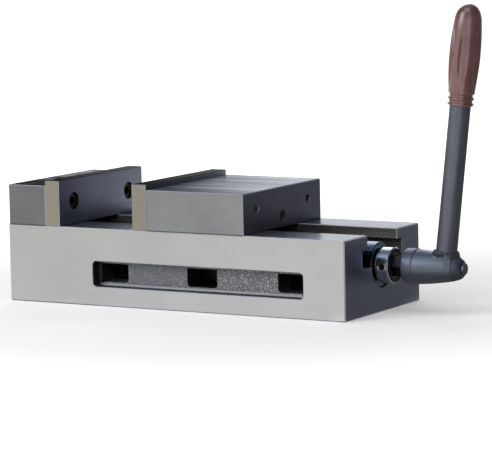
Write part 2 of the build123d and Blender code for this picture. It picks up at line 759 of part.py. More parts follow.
with BuildPart() as crank_grip:
    with BuildSketch(arm_plane):
        with BuildLine():
            Polyline(
                (0, grip_end),
                (0, rod_end + fit_clearance),
                (rod_radius + fit_clearance, rod_end + fit_clearance),
                (rod_radius + fit_clearance, grip_start),
                (grip_root_radius, grip_start),
                (grip_root_radius, grip_start + grip_waist),
                (grip_lip_radius, grip_start + grip_waist + grip_lip_edge),
            )
            Spline(
                (grip_lip_radius, grip_start + grip_waist + grip_lip_edge),
                (grip_belly_radius, grip_start + grip_belly_at),
                (grip_top_radius, grip_shoulder),
                tangents=[(0.08, 1), (-0.12, 1)],
            )
            Spline(
                (grip_top_radius, grip_shoulder),
                (grip_top_radius / sqrt(2), grip_shoulder + grip_dome / sqrt(2)),
                (0, grip_end),
                tangents=[(-0.12, 1), (-1, 0)],
            )
        make_face()
        for rib in range(grip_rib_count):
            with Locations((grip_root_radius, grip_start + grip_rib_margin + rib * grip_rib_pitch)):
                Circle(grip_rib_radius)
    revolve(axis=arm_axis)
    for flute in range(flute_count):
        turned = flute_cutter.part.rotate(arm_axis, flute_turn + flute * 360 / flute_count)
        add(turned, mode=Mode.SUBTRACT)
crank_grip.part.label = "crank_grip"
export_step(crank_grip.part, "parts/crank_grip.step")
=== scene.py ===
"""Milling vise: the threaded screw, the crank and its grip as surfaces, and the finish of every part."""

import math

import bpy
import numpy as np
from bpy.props import FloatProperty, FloatVectorProperty, IntProperty, PointerProperty
from mathutils import Matrix, Vector


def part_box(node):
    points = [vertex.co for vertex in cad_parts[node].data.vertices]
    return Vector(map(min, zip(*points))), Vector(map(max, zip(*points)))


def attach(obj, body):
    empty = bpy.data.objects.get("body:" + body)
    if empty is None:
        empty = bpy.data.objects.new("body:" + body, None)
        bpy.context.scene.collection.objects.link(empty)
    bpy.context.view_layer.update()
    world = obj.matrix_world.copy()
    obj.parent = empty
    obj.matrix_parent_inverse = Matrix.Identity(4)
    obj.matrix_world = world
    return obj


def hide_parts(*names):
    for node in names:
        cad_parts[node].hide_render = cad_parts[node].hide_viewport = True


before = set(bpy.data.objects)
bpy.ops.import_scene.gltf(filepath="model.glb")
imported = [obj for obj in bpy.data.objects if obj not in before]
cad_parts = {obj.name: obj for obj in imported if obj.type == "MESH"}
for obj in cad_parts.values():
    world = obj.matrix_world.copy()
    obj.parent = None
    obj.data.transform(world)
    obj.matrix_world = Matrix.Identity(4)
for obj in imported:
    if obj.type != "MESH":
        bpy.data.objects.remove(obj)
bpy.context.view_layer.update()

bl_info = {
    "name": "Milling vise",
    "version": (1, 0, 0),
    "blender": (4, 5, 0),
    "location": "3D View > Sidebar > Vise",
    "description": "Surfaces and finishes of an angle-lock milling vise with a loose crank",
    "category": "Add Mesh",
}

SCREW_LOW, SCREW_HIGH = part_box("lead_screw")
HUB_LOW, HUB_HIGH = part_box("crank_hub")
BODY_LOW, BODY_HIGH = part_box("vise_body")
COLLAR_LOW, COLLAR_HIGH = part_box("stop_collar")
FIXED_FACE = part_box("fixed_jaw_plate")[1]
MOVABLE_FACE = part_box("movable_jaw_plate")[0]
AXIS_Z = (COLLAR_LOW.z + COLLAR_HIGH.z) / 2
MM = 0.001

# Places on the body casting where its finish and its painted shade change
SLOT_WALL = 30 * MM
LAND_BOTTOM = BODY_HIGH.z - 10 * MM
BRIDGE_FACE = BODY_HIGH.x - 43 * MM
POCKET_START = BODY_HIGH.x - 275 * MM
POCKET_BACK = BODY_HIGH.y - 12 * MM
SPECKS_FAINT, SPECKS_FULL = -20 * MM, 70 * MM


def length(name, description, default):
    """Return a length property whose default is in metres."""
    return FloatProperty(name=name, description=description, default=default, unit="LENGTH", precision=5)


def angle(name, description, degrees):
    """Return an angle property whose default is given in degrees."""
    return FloatProperty(name=name, description=description, default=math.radians(degrees), subtype="ANGLE")


def colour(name, description, default):
    """Return a colour property whose default is linear red, green and blue."""
    return FloatVectorProperty(
        name=name, description=description, default=default, subtype="COLOR", size=3, min=0, max=1
    )


def plain(name, description, default):
    """Return a plain number property."""
    return FloatProperty(name=name, description=description, default=default, precision=4)


def spot(name, description, default):
    """Return a property of a place whose default is in metres."""
    return FloatVectorProperty(name=name, description=description, default=default, subtype="TRANSLATION")


def studio_side(name, description, azimuth, start, full, strength):
    """Return a property of one side of the studio: its azimuth from +X, given in degrees, the cosines of the
    angle from its middle where it starts and is full, and its strength."""
    default = (math.radians(azimuth), start, full, strength)
    return FloatVectorProperty(name=name, description=description, default=default, size=4, precision=3)


class ScrewSizes(bpy.types.PropertyGroup):
    """Sizes of the lead screw."""

    crest_radius: length("Crest radius", "Outer radius of the thread", 15 * MM)
    thread_depth: length("Thread depth", "Depth of the thread from crest to root", 2.2 * MM)
    pitch: length("Pitch", "Advance of the nut in one turn", 5 * MM)
    relief_start: length("Relief start", "Where the relief groove starts along the screw", 110 * MM)
    relief_radius: length("Relief radius", "Radius of the relief groove", 12 * MM)
    shoulder_start: length("Shoulder start", "Where the shoulder starts along the screw", 115 * MM)
    shoulder_end: length("Shoulder end", "Where the shoulder ends along the screw", 123 * MM)
    shoulder_radius: length("Shoulder radius", "Radius of the shoulder", 19 * MM)
    journal_radius: length("Journal radius", "Radius of the journal", 12.5 * MM)
    journal_end: length("Journal end", "Where the journal ends along the screw", 199.5 * MM)
    drive_flats: length("Drive flats", "Width across the flats of the hexagon drive", 19 * MM)
    edge: length("Edge", "Chamfer at the ends of the screw", 1.5 * MM)


class CrankSizes(bpy.types.PropertyGroup):
    """Sizes of the crank hub and rod."""

    collar_radius: length("Collar radius", "Radius of the hub's collar", 17 * MM)
    collar_length: length("Collar length", "Length of the hub's collar", 10.5 * MM)
    collar_step: length("Collar step", "Height and length of the step behind the collar", 0.7 * MM)
    middle_radius: length("Middle radius", "Radius of the barrel under the rod", 13.5 * MM)
    nose_radius: length("Nose radius", "Radius of the domed nose", 11.5 * MM)
    nose_arc: angle("Nose arc", "Angle of the dome's profile", 79)
    turned_end: length("Turned end", "Where the turned part of the barrel ends", 261.4 * MM)
    nose_face: length("Nose face", "Where the domed nose is cut flat", 270.0 * MM)
    stub_radius: length("Stub radius", "Radius of the short stub on the nose", 5.4 * MM)
    stub_end: length("Stub end", "Where the stub ends", 271.8 * MM)
    turned_rise: length("Turned rise", "How far the turned part stands out of the forged skin", 0.25 * MM)
    skin_depth: length("Skin depth", "Height of the lumps of the forged skin", 0.16 * MM)
    socket_flats: length("Socket flats", "Width across the flats of the socket", 19.3 * MM)
    socket_depth: length("Socket depth", "Depth of the socket", 20 * MM)
    edge: length("Edge", "Rounding of the collar's rim and the rod's ends", 1.2 * MM)
    arm_foot: length("Arm foot", "Where the rod's centre line meets the screw's axis", 250.9 * MM)
    arm_lean: angle("Arm lean", "Lean of the rod away from the vise", 6.65)
    boss_radius: length("Boss radius", "Radius of the boss round the rod", 12.9 * MM)
    boss_reach: length("Boss reach", "Height of the boss above the screw's axis", 15.6 * MM)
    boss_depth: length("Boss depth", "Depth of the boss below the screw's axis", 5 * MM)
    boss_rim: length("Boss rim", "Rounding of the boss's rim", 2 * MM)
    boss_blend: length("Boss blend", "Softness of the joint between the boss and the barrel", 2.6 * MM)
    boss_fade: angle("Boss fade", "Angle from the nose past which the boss gets shallow", 60)
    boss_foot: length("Boss foot", "Height of the shallow part of the boss above the screw's axis", 11.5 * MM)
    weld_radius: length("Weld radius", "Radius of the ring of weld at the rod's foot", 10.9 * MM)
    weld_drop: length("Weld drop", "How far the ring of weld lies under the boss's top", 0.7 * MM)
    weld_bead: length("Weld bead", "Thickness of the ring of weld", 1.6 * MM)
    weld_blend: length("Weld blend", "Softness of the weld's joint with the boss", 0.6 * MM)
    weld_ripples: IntProperty(name="Weld ripples", description="Ripples round the weld", default=17, min=1)
    rod_radius: length("Rod radius", "Radius of the rod", 9.85 * MM)
    rod_start: length("Rod start", "Where the rod starts along its centre line", 3 * MM)
    rod_end: length("Rod end", "Where the rod ends along its centre line", 228 * MM)


class GripSizes(bpy.types.PropertyGroup):
    """Sizes of the grip."""

    start: length("Start", "Where the grip starts along the rod's centre line", 152 * MM)
    length: length("Length", "Length of the grip", 93.6 * MM)
    root_radius: length("Root radius", "Radius at the grip's root", 10.9 * MM)
    rib_radius: length("Rib radius", "Rounding of the ribs at the root", 1.4 * MM)
    rib_margin: length("Rib margin", "Distance from the root to the first rib", 1.6 * MM)
    rib_pitch: length("Rib pitch", "Distance between the ribs", 5.3 * MM)
    rib_count: IntProperty(name="Ribs", description="Number of ribs", default=2, min=0)
    waist: length("Waist", "Length of the straight root", 10.6 * MM)
    lip_radius: length("Lip radius", "Radius where the body starts", 12.3 * MM)
    lip_edge: length("Lip edge", "Slope of the lip", 0.8 * MM)
    lip_slope: plain("Lip slope", "Widening of the body at the lip", 0.08)
    belly_radius: length("Belly radius", "Largest radius", 14.4 * MM)
    belly_at: length("Belly at", "Distance from the root to the largest radius", 45.5 * MM)
    top_radius: length("Top radius", "Radius where the dome starts", 12.6 * MM)
    top_slope: plain("Top slope", "Narrowing of the body where the dome starts", 0.12)
    dome: length("Dome", "Height of the dome", 14.6 * MM)
    flute_length: length("Flute length", "Length of a flute", 53 * MM)
    flute_middle: length("Flute middle", "Distance from the root to the flutes' middle", 45 * MM)
    flute_depth: length("Flute depth", "Depth of a flute", 2.4 * MM)
    flute_round: length("Flute round", "Radius of a flute's hollow", 8.3 * MM)
    flute_edge: length("Flute edge", "Rounding of a flute's edges", 0.25 * MM)
    flute_count: IntProperty(name="Flutes", description="Number of flutes", default=6, min=1)
    pin_radius: length("Pin radius", "Radius of the small pin hole", 3.2 * MM)
    pin_depth: length("Pin depth", "Depth of the small pin hole", 1.2 * MM)
    pin_at: length("Pin at", "Distance from the root to the pin hole", 46.5 * MM)
    pin_turn: angle("Pin turn", "Turn of the pin hole about the rod", -127)
    flute_turn: angle("Flute turn", "Turn of the first flute about the rod", -72)


class Colours(bpy.types.PropertyGroup):
    """Colours of the finishes, and of the painted light and shade on some of them."""

    # The lower colour of the body's sides is painted light: that part is painted paler and bluer than the
    # upper part.
    body_side: colour("Body side", "Ground sides of the body, upper part", (0.472, 0.466, 0.454))
    body_low_painted_light: colour("Body low", "Ground sides of the body, lower part", (0.498, 0.497, 0.508))
    # The rails' dark and light colours are the ends of a tone that mixes grinding streaks with painted light
    # and shade.
    rail_dark: colour("Rail, dark", "Ground rails where they look darkest", (0.15, 0.156, 0.19))
    rail_light: colour("Rail, light", "Ground rails where they look lightest", (0.235, 0.247, 0.295))
    end: colour("End", "Ground ends of the body and the jaws", (0.235, 0.247, 0.335))
    casting: colour("Casting", "Rough cast iron in the pockets", (0.20, 0.206, 0.222))
    speck: colour("Speck", "Bright grains of the cast iron", (0.62, 0.64, 0.67))
    # The pocket floor colour is painted shade: the floors of the pockets lie in shade.
    pocket_floor_shade: colour("Pocket floor", "Painted floor of the pockets", (0.018, 0.028, 0.048))
    slot_face: colour("Slot face", "Oily faces of the slot", (0.105, 0.098, 0.088))
    # The hollow colour is painted shade: the cavity inside the body, the left ends of the pockets and the
    # pocket walls facing +X are painted near-black.
    hollow: colour("Hollow", "Dark cavity inside the body", (0.010, 0.011, 0.013))
    # The front wall colour is painted light: the cavity's walls at the crank's end are painted a little
    # lighter than the near-black shade round them. The plates' faces other than their ends, face and top get
    # this dark colour too.
    front_wall: colour("Front wall", "Oily walls of the cavity at the crank's end", (0.060, 0.056, 0.052))
    # The edge colour is a painted highlight: bright colour on chamfers and on the pockets' root fillets,
    # where light catches them.
    edge: colour("Edge", "Bright edges", (0.55, 0.56, 0.61))
    # The jaws' edge colour is a painted highlight on their chamfers.
    jaw_edge_highlight: colour("Jaw edge", "Edges of the jaws", (0.50, 0.51, 0.54))
    jaw_side: colour("Jaw side", "Ground sides of the movable jaw", (0.26, 0.265, 0.265))
    fixed_side: colour("Fixed jaw side", "Ground sides of the fixed jaw", (0.180, 0.182, 0.186))
    # The jaws' top colours are the ends of a tone that mixes grinding streaks with painted shade, darker
    # towards the near side and the movable plate. The fixed jaw's top colour is a plain near-black.
    jaw_dark: colour("Jaw top, dark", "Top of the movable jaw where it looks darkest", (0.075, 0.078, 0.096))
    jaw_light: colour("Jaw top, light", "Top of the movable jaw where it looks lightest", (0.27, 0.28, 0.335))
    fixed_top_dark: colour("Oily top", "Top of the fixed jaw under its dark oil film", (0.030, 0.028, 0.026))
    plate_end: colour("Plate end", "Tempered ends of the jaw plates", (0.31, 0.280, 0.230))
    # The plates' top and face colours are painted lighter towards the far side.
    plate_top: colour("Plate top", "Top edges of the jaw plates", (0.028, 0.027, 0.025))
    plate_face: colour("Plate face", "Gripping faces of the plates", (0.24, 0.25, 0.33))
    black: colour("Black", "Black oxide on the screws", (0.008, 0.008, 0.009))
    steel: colour("Steel", "Bright turned steel", (0.56, 0.57, 0.60))
    housing: colour("Housing", "Polished bearing housing", (0.17, 0.20, 0.25))
    oiled: colour("Oiled steel", "Oiled thread of the screw", (0.17, 0.17, 0.18))
    # The drive colour is near-black: painted shade on the screw's drive between the collar and the hub, on
    # the collar's end faces and on the nut inside the body. The housing's sides get it too.
    drive: colour("Drive", "Oil-blackened drive, nut and faces", (0.014, 0.014, 0.016))
    chrome: colour("Chrome", "Polished collar", (0.70, 0.72, 0.76))
    brass: colour("Brass", "Bearing cage", (0.55, 0.38, 0.16))
    forged: colour("Forged iron", "As-forged skin of the crank", (0.050, 0.057, 0.078))
    turned: colour("Turned iron", "Turned barrel of the crank", (0.120, 0.136, 0.170))
    rod: colour("Rod", "Rod of the crank", (0.126, 0.134, 0.165))
    grip: colour("Grip", "Moulded grip", (0.158, 0.056, 0.051))
    grip_worn: colour("Grip, worn", "Paler wear on the grip", (0.270, 0.140, 0.116))
    floor: colour("Floor", "Floor", (0.86, 0.86, 0.86))


class Studio(bpy.types.PropertyGroup):
    """Camera, lamps, floor and world."""

    azimuth: angle("Azimuth", "Camera's turn from +Y", 30.470)
    elevation: angle("Elevation", "Camera's height angle", 6.929)
    roll: angle("Roll", "Camera's roll", -1.205)
    camera_place: spot("Camera's place", "Place of the camera", (1.4310, -2.3667, 0.4072))
    lens: plain("Lens", "Focal length in millimetres on a sensor 36 mm wide", 211.0)
    key_power: FloatProperty(name="Key", description="Power of the key lamp in watts", default=34.0)
    fill_power: FloatProperty(name="Fill", description="Power of the fill lamp in watts", default=10.0)
    back_power: FloatProperty(name="Back", description="Power of the back lamp in watts", default=14.0)
    sky: plain("Sky", "Strength of the world's own light", 0.42)
    shine: plain("Shine", "Strength of the horizon in reflections", 1.0)
    sky_shine: plain("Sky shine", "Strength of the upper sky against the horizon", 0.55)
    sky_tint: colour("Sky tint", "Colour of the upper sky in reflections", (0.50, 0.66, 1.0))
    dark_side: studio_side("Dark side", "Dark side of the studio", 20, 0.40, 0.60, 0.20)
    dim_side: studio_side("Dim side", "Half-dark left side of the studio", 178, 0.80, 0.94, 0.35)
    front_side: studio_side("Front side", "Bright side of the studio by the camera", -52, 0.90, 0.985, 1.5)
    dark_sky: plain("Dark sky", "Strength of the dark side as light", 0.25)
    floor_glow: plain("Floor glow", "Brightness that the floor near the vise shows of itself", 0.30)
    floor_shine: plain("Floor shine", "Strength of the floor near the vise in reflections", 0.95)
    floor_dark_place: spot("Floor's dark place", "Where the floor's dark side spreads from", (0.16, -0.06, 0))


def skin(name, rings, first=None, last=None, sharp=math.radians(32)):
    """Make a mesh object over closed rings of points.

    rings is an array (rings, points, 3), each ring running by the right-hand rule about the way that the
    rings advance, so that faces point outwards. first and last are poles, joined to the end rings by fans.
    """
    count, around = rings.shape[:2]
    index = np.arange(count * around).reshape(count, around)
    following = np.roll(index, -1, axis=1)
    quads = np.stack([index[:-1], following[:-1], following[1:], index[1:]], axis=-1).reshape(-1, 4)
    points = [rings.reshape(-1, 3)]
    faces = quads.tolist()
    if first is not None:
        pole = np.full(around, count * around)
        faces += np.stack([pole, following[0], index[0]], axis=-1).tolist()
        points.append(np.array([first], float))
    if last is not None:
        pole = np.full(around, count * around + (first is not None))
        faces += np.stack([pole, index[-1], following[-1]], axis=-1).tolist()
        points.append(np.array([last], float))
    mesh = bpy.data.meshes.new(name)
    mesh.from_pydata(np.concatenate(points).tolist(), [], faces)
    mesh.validate()
    mesh.shade_smooth()
    mesh.set_sharp_from_angle(angle=sharp)
    piece = bpy.data.objects.new(name, mesh)
    bpy.context.scene.collection.objects.link(piece)
    return piece


def turned_rings(along, radius, origin, direction, across):
    """Return rings about an axis: at distance along and angle a, the point is origin plus along times
    direction plus radius times (cos a across + sin a (direction x across)). radius is (rings, angles)."""
    direction, across = np.array(direction, float), np.array(across, float)
    third = np.cross(direction, across)
    angles = np.linspace(0, 2 * math.pi, radius.shape[1], endpoint=False)
    spoke = np.cos(angles)[:, None] * across + np.sin(angles)[:, None] * third
    middles = np.array(origin) + np.asarray(along)[:, None, None] * direction
    return middles + radius[:, :, None] * spoke[None]


def hexagon(flats, angles):
    """Radius of a hexagon at each angle: half its flats over the cosine of the angle from the nearest flat's
    middle."""
    return flats / 2 / np.cos(np.mod(angles, math.pi / 3) - math.pi / 6)


def smooth_step(value):
    """Cubic step of a value clipped to 0 to 1: three times its square less twice its cube."""
    value = np.clip(value, 0, 1)
    return value * value * (3 - 2 * value)


def smooth_least(one, other, blend):
    """Polynomial smooth minimum: the lesser of two distances, rounded where they differ by less than
    blend."""
    near = np.clip(0.5 + 0.5 * (other - one) / blend, 0, 1)
    return other * (1 - near) + one * near - blend * near * (1 - near)


def settings():
    """Return the scene's settings of the vise."""
    return bpy.context.scene.vise


class Shader:
    """Nodes of one material or group, added by short calls."""

    def __init__(self, tree):
        self.tree = tree
        self.column = 0

    def add(self, kind, inputs=None, **values):
        """Add a node, set its plain values, and set or link its inputs by name or number."""
        node = self.tree.nodes.new(kind)
        self.column += 1
        node.location = (self.column * 180, -(self.column % 5) * 140)
        for key, value in values.items():
            setattr(node, key, value)
        for key, value in (inputs or {}).items():
            self.plug(node.inputs[key], value)
        return node

    def plug(self, socket, value):
        """Link a result to a socket, or set a plain number, place or colour on it."""
        if isinstance(value, bpy.types.NodeSocket):
            self.tree.links.new(value, socket)
        elif socket.type == "RGBA":
            socket.default_value = (*value, 1)
        else:
            socket.default_value = value

    def math(self, operation, first, second=0.0, clamp=False):
        """Return the result of a Math node."""
        node = self.add("ShaderNodeMath", {0: first, 1: second}, operation=operation, use_clamp=clamp)
        return node.outputs[0]

    def vector(self, operation, first, second=(0, 0, 0), output=0):
        """Return the result of a Vector Math node: its vector, or its number where output is "Value"."""
        return self.add("ShaderNodeVectorMath", {0: first, 1: second}, operation=operation).outputs[output]

    def total(self, *values):
        """Return the sum of numbers, clipped to 0 to 1."""
        result = values[0]
        for value in values[1:-1]:
            result = self.math("ADD", result, value)
        return self.math("ADD", result, values[-1], clamp=True)

    def both(self, *masks):
        """Return the product of masks."""
        result = masks[0]
        for mask in masks[1:]:
            result = self.math("MULTIPLY", result, mask)
        return result

    def no(self, mask):
        """Return one less a mask."""
        return self.math("SUBTRACT", 1.0, mask)

    def shade(self, paint, tone):
        """Return a colour times a number."""
        return self.add("ShaderNodeVectorMath", {0: paint, "Scale": tone}, operation="SCALE").outputs[0]

    def mix(self, factor, first, second):
        """Return a colour mixed from two colours."""
        return self.add("ShaderNodeMix", {0: factor, 6: first, 7: second}, data_type="RGBA").outputs[2]

    def blend(self, factor, first, second):
        """Return a number mixed from two numbers."""
        return self.add("ShaderNodeMix", {0: factor, 2: first, 3: second}, data_type="FLOAT").outputs[0]

    def group(self, made, **inputs):
        """Add a node group with its own values."""
        return self.add("ShaderNodeGroup", inputs, node_tree=made)

    def step(self, value, low, high):
        """Return a value mapped from low to high onto 0 to 1, clipped."""
        return self.add("ShaderNodeMapRange", {"Value": value, "From Min": low, "From Max": high}).outputs[0]

    def noise(self, place, scale, detail=4.0):
        """Return smooth noise over places."""
        return self.add("ShaderNodeTexNoise", {"Vector": place, "Scale": scale, "Detail": detail}).outputs[0]

    def past(self, value, at, soft):
        """Return a mask that rises from 0 to 1 round a place, or falls where soft is negative."""
        return self.step(value, at - soft, at + soft)

    def within(self, value, low, high, soft=0.4 * MM):
        """Return a mask that is 1 where a coordinate lies between low and high."""
        return self.math("MULTIPLY", self.past(value, low, soft), self.past(value, high, -soft))

    def grain(self, marks, tone, strokes):
        """Return the product of the slow tone and the strokes of grinding, each mapped onto a range."""
        return self.both(self.blend(marks["Tone"], *tone), self.blend(marks["Strokes"], *strokes))

    def mirrored(self, rays):
        """Return a mask that is 1 for the rays of reflections."""
        return self.math("MAXIMUM", rays["Is Glossy Ray"], rays["Is Transmission Ray"])


def new_group(name, inputs, outputs):
    """Return a node group's Shader with named inputs and outputs, its input node and its output node."""
    made = bpy.data.node_groups.new(name, "ShaderNodeTree")
    for label, kind, default in inputs:
        made.interface.new_socket(label, in_out="INPUT", socket_type=kind).default_value = default
    for label, kind in outputs:
        made.interface.new_socket(label, in_out="OUTPUT", socket_type=kind)
    shader = Shader(made)
    return shader, shader.add("NodeGroupInput"), shader.add("NodeGroupOutput")


def faces_group():
    """Masks from the surface's own direction: 1 on faces across X, across Y, facing up, and on chamfers."""
    if "face_masks" in bpy.data.node_groups:
        return bpy.data.node_groups["face_masks"]
    masks = [(name, "NodeSocketFloat") for name in ("End", "Side", "Top", "Chamfer")]
    shader, _, out = new_group("face_masks", [], masks)
    normal = shader.add("ShaderNodeTexCoord").outputs["Normal"]
    parts = shader.add("ShaderNodeSeparateXYZ", {0: normal}).outputs
    across_x = shader.math("ABSOLUTE", parts[0])
    across_y = shader.math("ABSOLUTE", parts[1])
    largest = shader.math("MAXIMUM", across_x, across_y)
    largest = shader.math("MAXIMUM", largest, shader.math("ABSOLUTE", parts[2]))
    nearly, square = 0.9, 0.98
    results = (
        shader.step(across_x, nearly, square),
        shader.step(across_y, nearly, square),
        shader.step(parts[2], nearly, square),
        shader.step(largest, 0.85, 0.75),
    )
    for number, result in enumerate(results):
        shader.tree.links.new(result, out.inputs[number])
    return shader.tree


def grind_group():
    """Fine strokes of a grinding wheel: noise stretched along one axis, and a slow change of tone."""
    if "grinding_strokes" in bpy.data.node_groups:
        return bpy.data.node_groups["grinding_strokes"]
    shader, given, out = new_group(
        "grinding_strokes",
        [("Stretch", "NodeSocketVector", (30, 900, 900)), ("Blotch", "NodeSocketFloat", 18)],
        [("Strokes", "NodeSocketFloat"), ("Tone", "NodeSocketFloat")],
    )
    place = shader.add("ShaderNodeTexCoord").outputs["Object"]
    stretched = shader.vector("MULTIPLY", place, given.outputs["Stretch"])
    strokes = shader.noise(stretched, 1.0, detail=3.0)
    blotch = shader.noise(place, given.outputs["Blotch"])
    shader.tree.links.new(shader.step(strokes, 0.3, 0.7), out.inputs["Strokes"])
    shader.tree.links.new(shader.step(blotch, 0.3, 0.7), out.inputs["Tone"])
    return shader.tree


def cast_group():
    """Sand-cast skin: small rounded grains and pits, with bright specks on the grains' tops."""
    if "cast_skin" in bpy.data.node_groups:
        return bpy.data.node_groups["cast_skin"]
    shader, given, out = new_group(
        "cast_skin",
        [("Grain", "NodeSocketFloat", 900)],
        [("Height", "NodeSocketFloat"), ("Specks", "NodeSocketFloat")],
    )
    place = shader.add("ShaderNodeTexCoord").outputs["Object"]
    grains = shader.add("ShaderNodeTexVoronoi", {"Vector": place, "Scale": given.outputs["Grain"]})
    rough = shader.noise(place, given.outputs["Grain"])
    height = shader.math("SUBTRACT", rough, grains.outputs["Distance"])
    specks = shader.step(height, 0.02, 0.42)
    shader.tree.links.new(height, out.inputs["Height"])
    shader.tree.links.new(specks, out.inputs["Specks"])
    return shader.tree


def new_material(name):
    """Return a material, its Shader, its Principled node and the Object coordinates split in three."""
    material = bpy.data.materials.new(name)
    material.use_nodes = True
    shader = Shader(material.node_tree)
    surface = material.node_tree.nodes["Principled BSDF"]
    place = shader.add("ShaderNodeTexCoord").outputs["Object"]
    return material, shader, surface, shader.add("ShaderNodeSeparateXYZ", {0: place}).outputs


def bump(shader, surface, height, distance):
    """Feed a height into the surface's normal."""
    node = shader.add("ShaderNodeBump", {"Height": height, "Distance": distance, "Strength": 1.0})
    shader.tree.links.new(node.outputs[0], surface.inputs["Normal"])


def connect(shader, surface, **values):
    """Link results to the surface's sockets by name, with underscores for spaces."""
    for key, value in values.items():
        shader.tree.links.new(value, surface.inputs[key.replace("_", " ")])


def body_iron():
    """Ground casting: pale sides and streaky rails with painted light and shade, dark ends, rough pockets
    with painted shade and highlights, a cavity painted dark as shade, and chamfers painted bright as
    highlights.
    """
    colours = settings().colours
    material, shader, surface, (x, y, z) = new_material("ground_casting")
    masks = shader.group(faces_group()).outputs
    fine = shader.group(grind_group(), Stretch=(14, 420, 420), Blotch=11.0).outputs
    coarse = shader.group(grind_group(), Stretch=(5, 75, 75), Blotch=5.0).outputs
    cast = shader.group(cast_group(), Grain=470.0).outputs
    beside = shader.math("ABSOLUTE", y)

    # Painted light on the sides: a little lighter towards +X, and paler and bluer on their lower part.
    side_tone = shader.grain(fine, (0.94, 1.05), (0.975, 1.025))
    side_tone = shader.both(side_tone, shader.blend(shader.step(x, BODY_LOW.x, BODY_HIGH.x), 0.97, 1.01))
    side = shader.mix(shader.step(z, BODY_HIGH.z, BODY_LOW.z), colours.body_side, colours.body_low_painted_light)
    side = shader.shade(side, side_tone)
    # Painted light and shade on the rails: the far rail painted lighter than the near one, and the rails
    # between the jaws painted darker as the plates' shade and dark reflection.
    rise = shader.math("MULTIPLY", shader.step(y, BODY_LOW.y, BODY_HIGH.y), 0.60)
    streaks = shader.blend(coarse["Strokes"], -0.20, 0.42), shader.blend(fine["Strokes"], -0.10, 0.16)
    rail_tone = shader.total(*streaks, rise, shader.blend(coarse["Tone"], 0.0, 0.25))
    between = shader.within(x, FIXED_FACE.x, MOVABLE_FACE.x, 4 * MM)
    rail_tone = shader.math("SUBTRACT", rail_tone, shader.math("MULTIPLY", between, 0.45), clamp=True)
    rail = shader.mix(rail_tone, colours.rail_dark, colours.rail_light)
    end = shader.shade(colours.end, shader.blend(coarse["Tone"], 0.85, 1.2))
    paint = shader.mix(masks["Top"], side, rail)
    paint = shader.mix(masks["End"], paint, end)
    # Painted highlight: the chamfers are painted bright.
    paint = shader.mix(masks["Chamfer"], paint, colours.edge)

    skin_y = shader.step(beside, BODY_HIGH.y - 0.2 * MM, BODY_HIGH.y - 0.5 * MM)
    skin_z = shader.step(z, BODY_HIGH.z - 0.5 * MM, BODY_HIGH.z - 1.2 * MM)
    skin_x = shader.step(shader.math("ABSOLUTE", x), BODY_HIGH.x - 0.6 * MM, BODY_HIGH.x - 1.2 * MM)
    deep = shader.both(skin_y, skin_z, skin_x)
    # Painted shade and highlights in the pockets and the cavity follow.
    cavity = shader.step(beside, POCKET_BACK - 0.8 * MM, POCKET_BACK - 1.8 * MM)
    land = shader.within(beside, SLOT_WALL - 1 * MM, SLOT_WALL + 1 * MM)
    land = shader.both(land, shader.within(z, LAND_BOTTOM, BODY_HIGH.z + 1 * MM))
    normal = shader.add("ShaderNodeTexCoord").outputs["Normal"]
    facing, _, facing_up = shader.add("ShaderNodeSeparateXYZ", {0: normal}).outputs
    shelf = shader.both(shader.step(facing_up, 0.85, 0.97), shader.no(cavity))
    slanting = shader.both(shader.step(facing_up, 0.20, 0.45), shader.step(facing_up, 0.92, 0.75))
    root = shader.both(slanting, shader.no(cavity))
    strength = shader.blend(shader.step(x, SPECKS_FAINT, SPECKS_FULL), 0.4, 1.0)
    specks = shader.both(cast["Specks"], shader.blend(fine["Tone"], 0.6, 1.0), strength)
    rough = shader.mix(specks, colours.casting, colours.speck)
    # Painted shadow: a near-black strip at the left end of each pocket.
    rough = shader.mix(shader.past(x, POCKET_START + 4.5 * MM, -0.5 * MM), rough, colours.hollow)
    # Painted shade on the pocket floors.
    rough = shader.mix(shelf, rough, colours.pocket_floor_shade)
    # Painted highlight on the pockets' root fillets.
    rough = shader.mix(shader.math("MULTIPLY", root, 0.75), rough, colours.edge)
    # Painted shade: pocket walls facing +X are near-black.
    rough = shader.mix(shader.step(facing, 0.25, 0.75), rough, colours.hollow)
    front = shader.step(x, BRIDGE_FACE - 2 * MM, BRIDGE_FACE + 1 * MM)
    # Painted shade: the cavity is near-black, and painted light makes it a little lighter at the crank's end.
    rough = shader.mix(cavity, rough, shader.mix(front, colours.hollow, colours.front_wall))
    slot = shader.shade(colours.slot_face, shader.blend(coarse["Strokes"], 0.6, 1.6))
    rough = shader.mix(land, rough, slot)
    paint = shader.mix(deep, paint, rough)
    connect(shader, surface, Base_Color=paint)

    outside = shader.no(deep)
    ground = shader.both(shader.math("MAXIMUM", masks["Side"], masks["Top"]), outside)
    metal = shader.both(ground, shader.blend(masks["Top"], 0.85, 0.77))
    metal = shader.math("MAXIMUM", metal, shader.both(masks["End"], outside))
    connect(shader, surface, Metallic=metal)
    gloss = shader.blend(masks["Top"], 0.40, shader.blend(fine["Strokes"], 0.18, 0.32))
    gloss = shader.blend(masks["End"], gloss, 0.36)
    connect(shader, surface, Roughness=shader.blend(deep, gloss, 0.50))
    height = shader.blend(deep, shader.math("MULTIPLY", fine["Strokes"], 0.03), cast["Height"])
    bump(shader, surface, height, 0.6 * MM)
    surface.inputs["Specular IOR Level"].default_value = 0.35
    return material


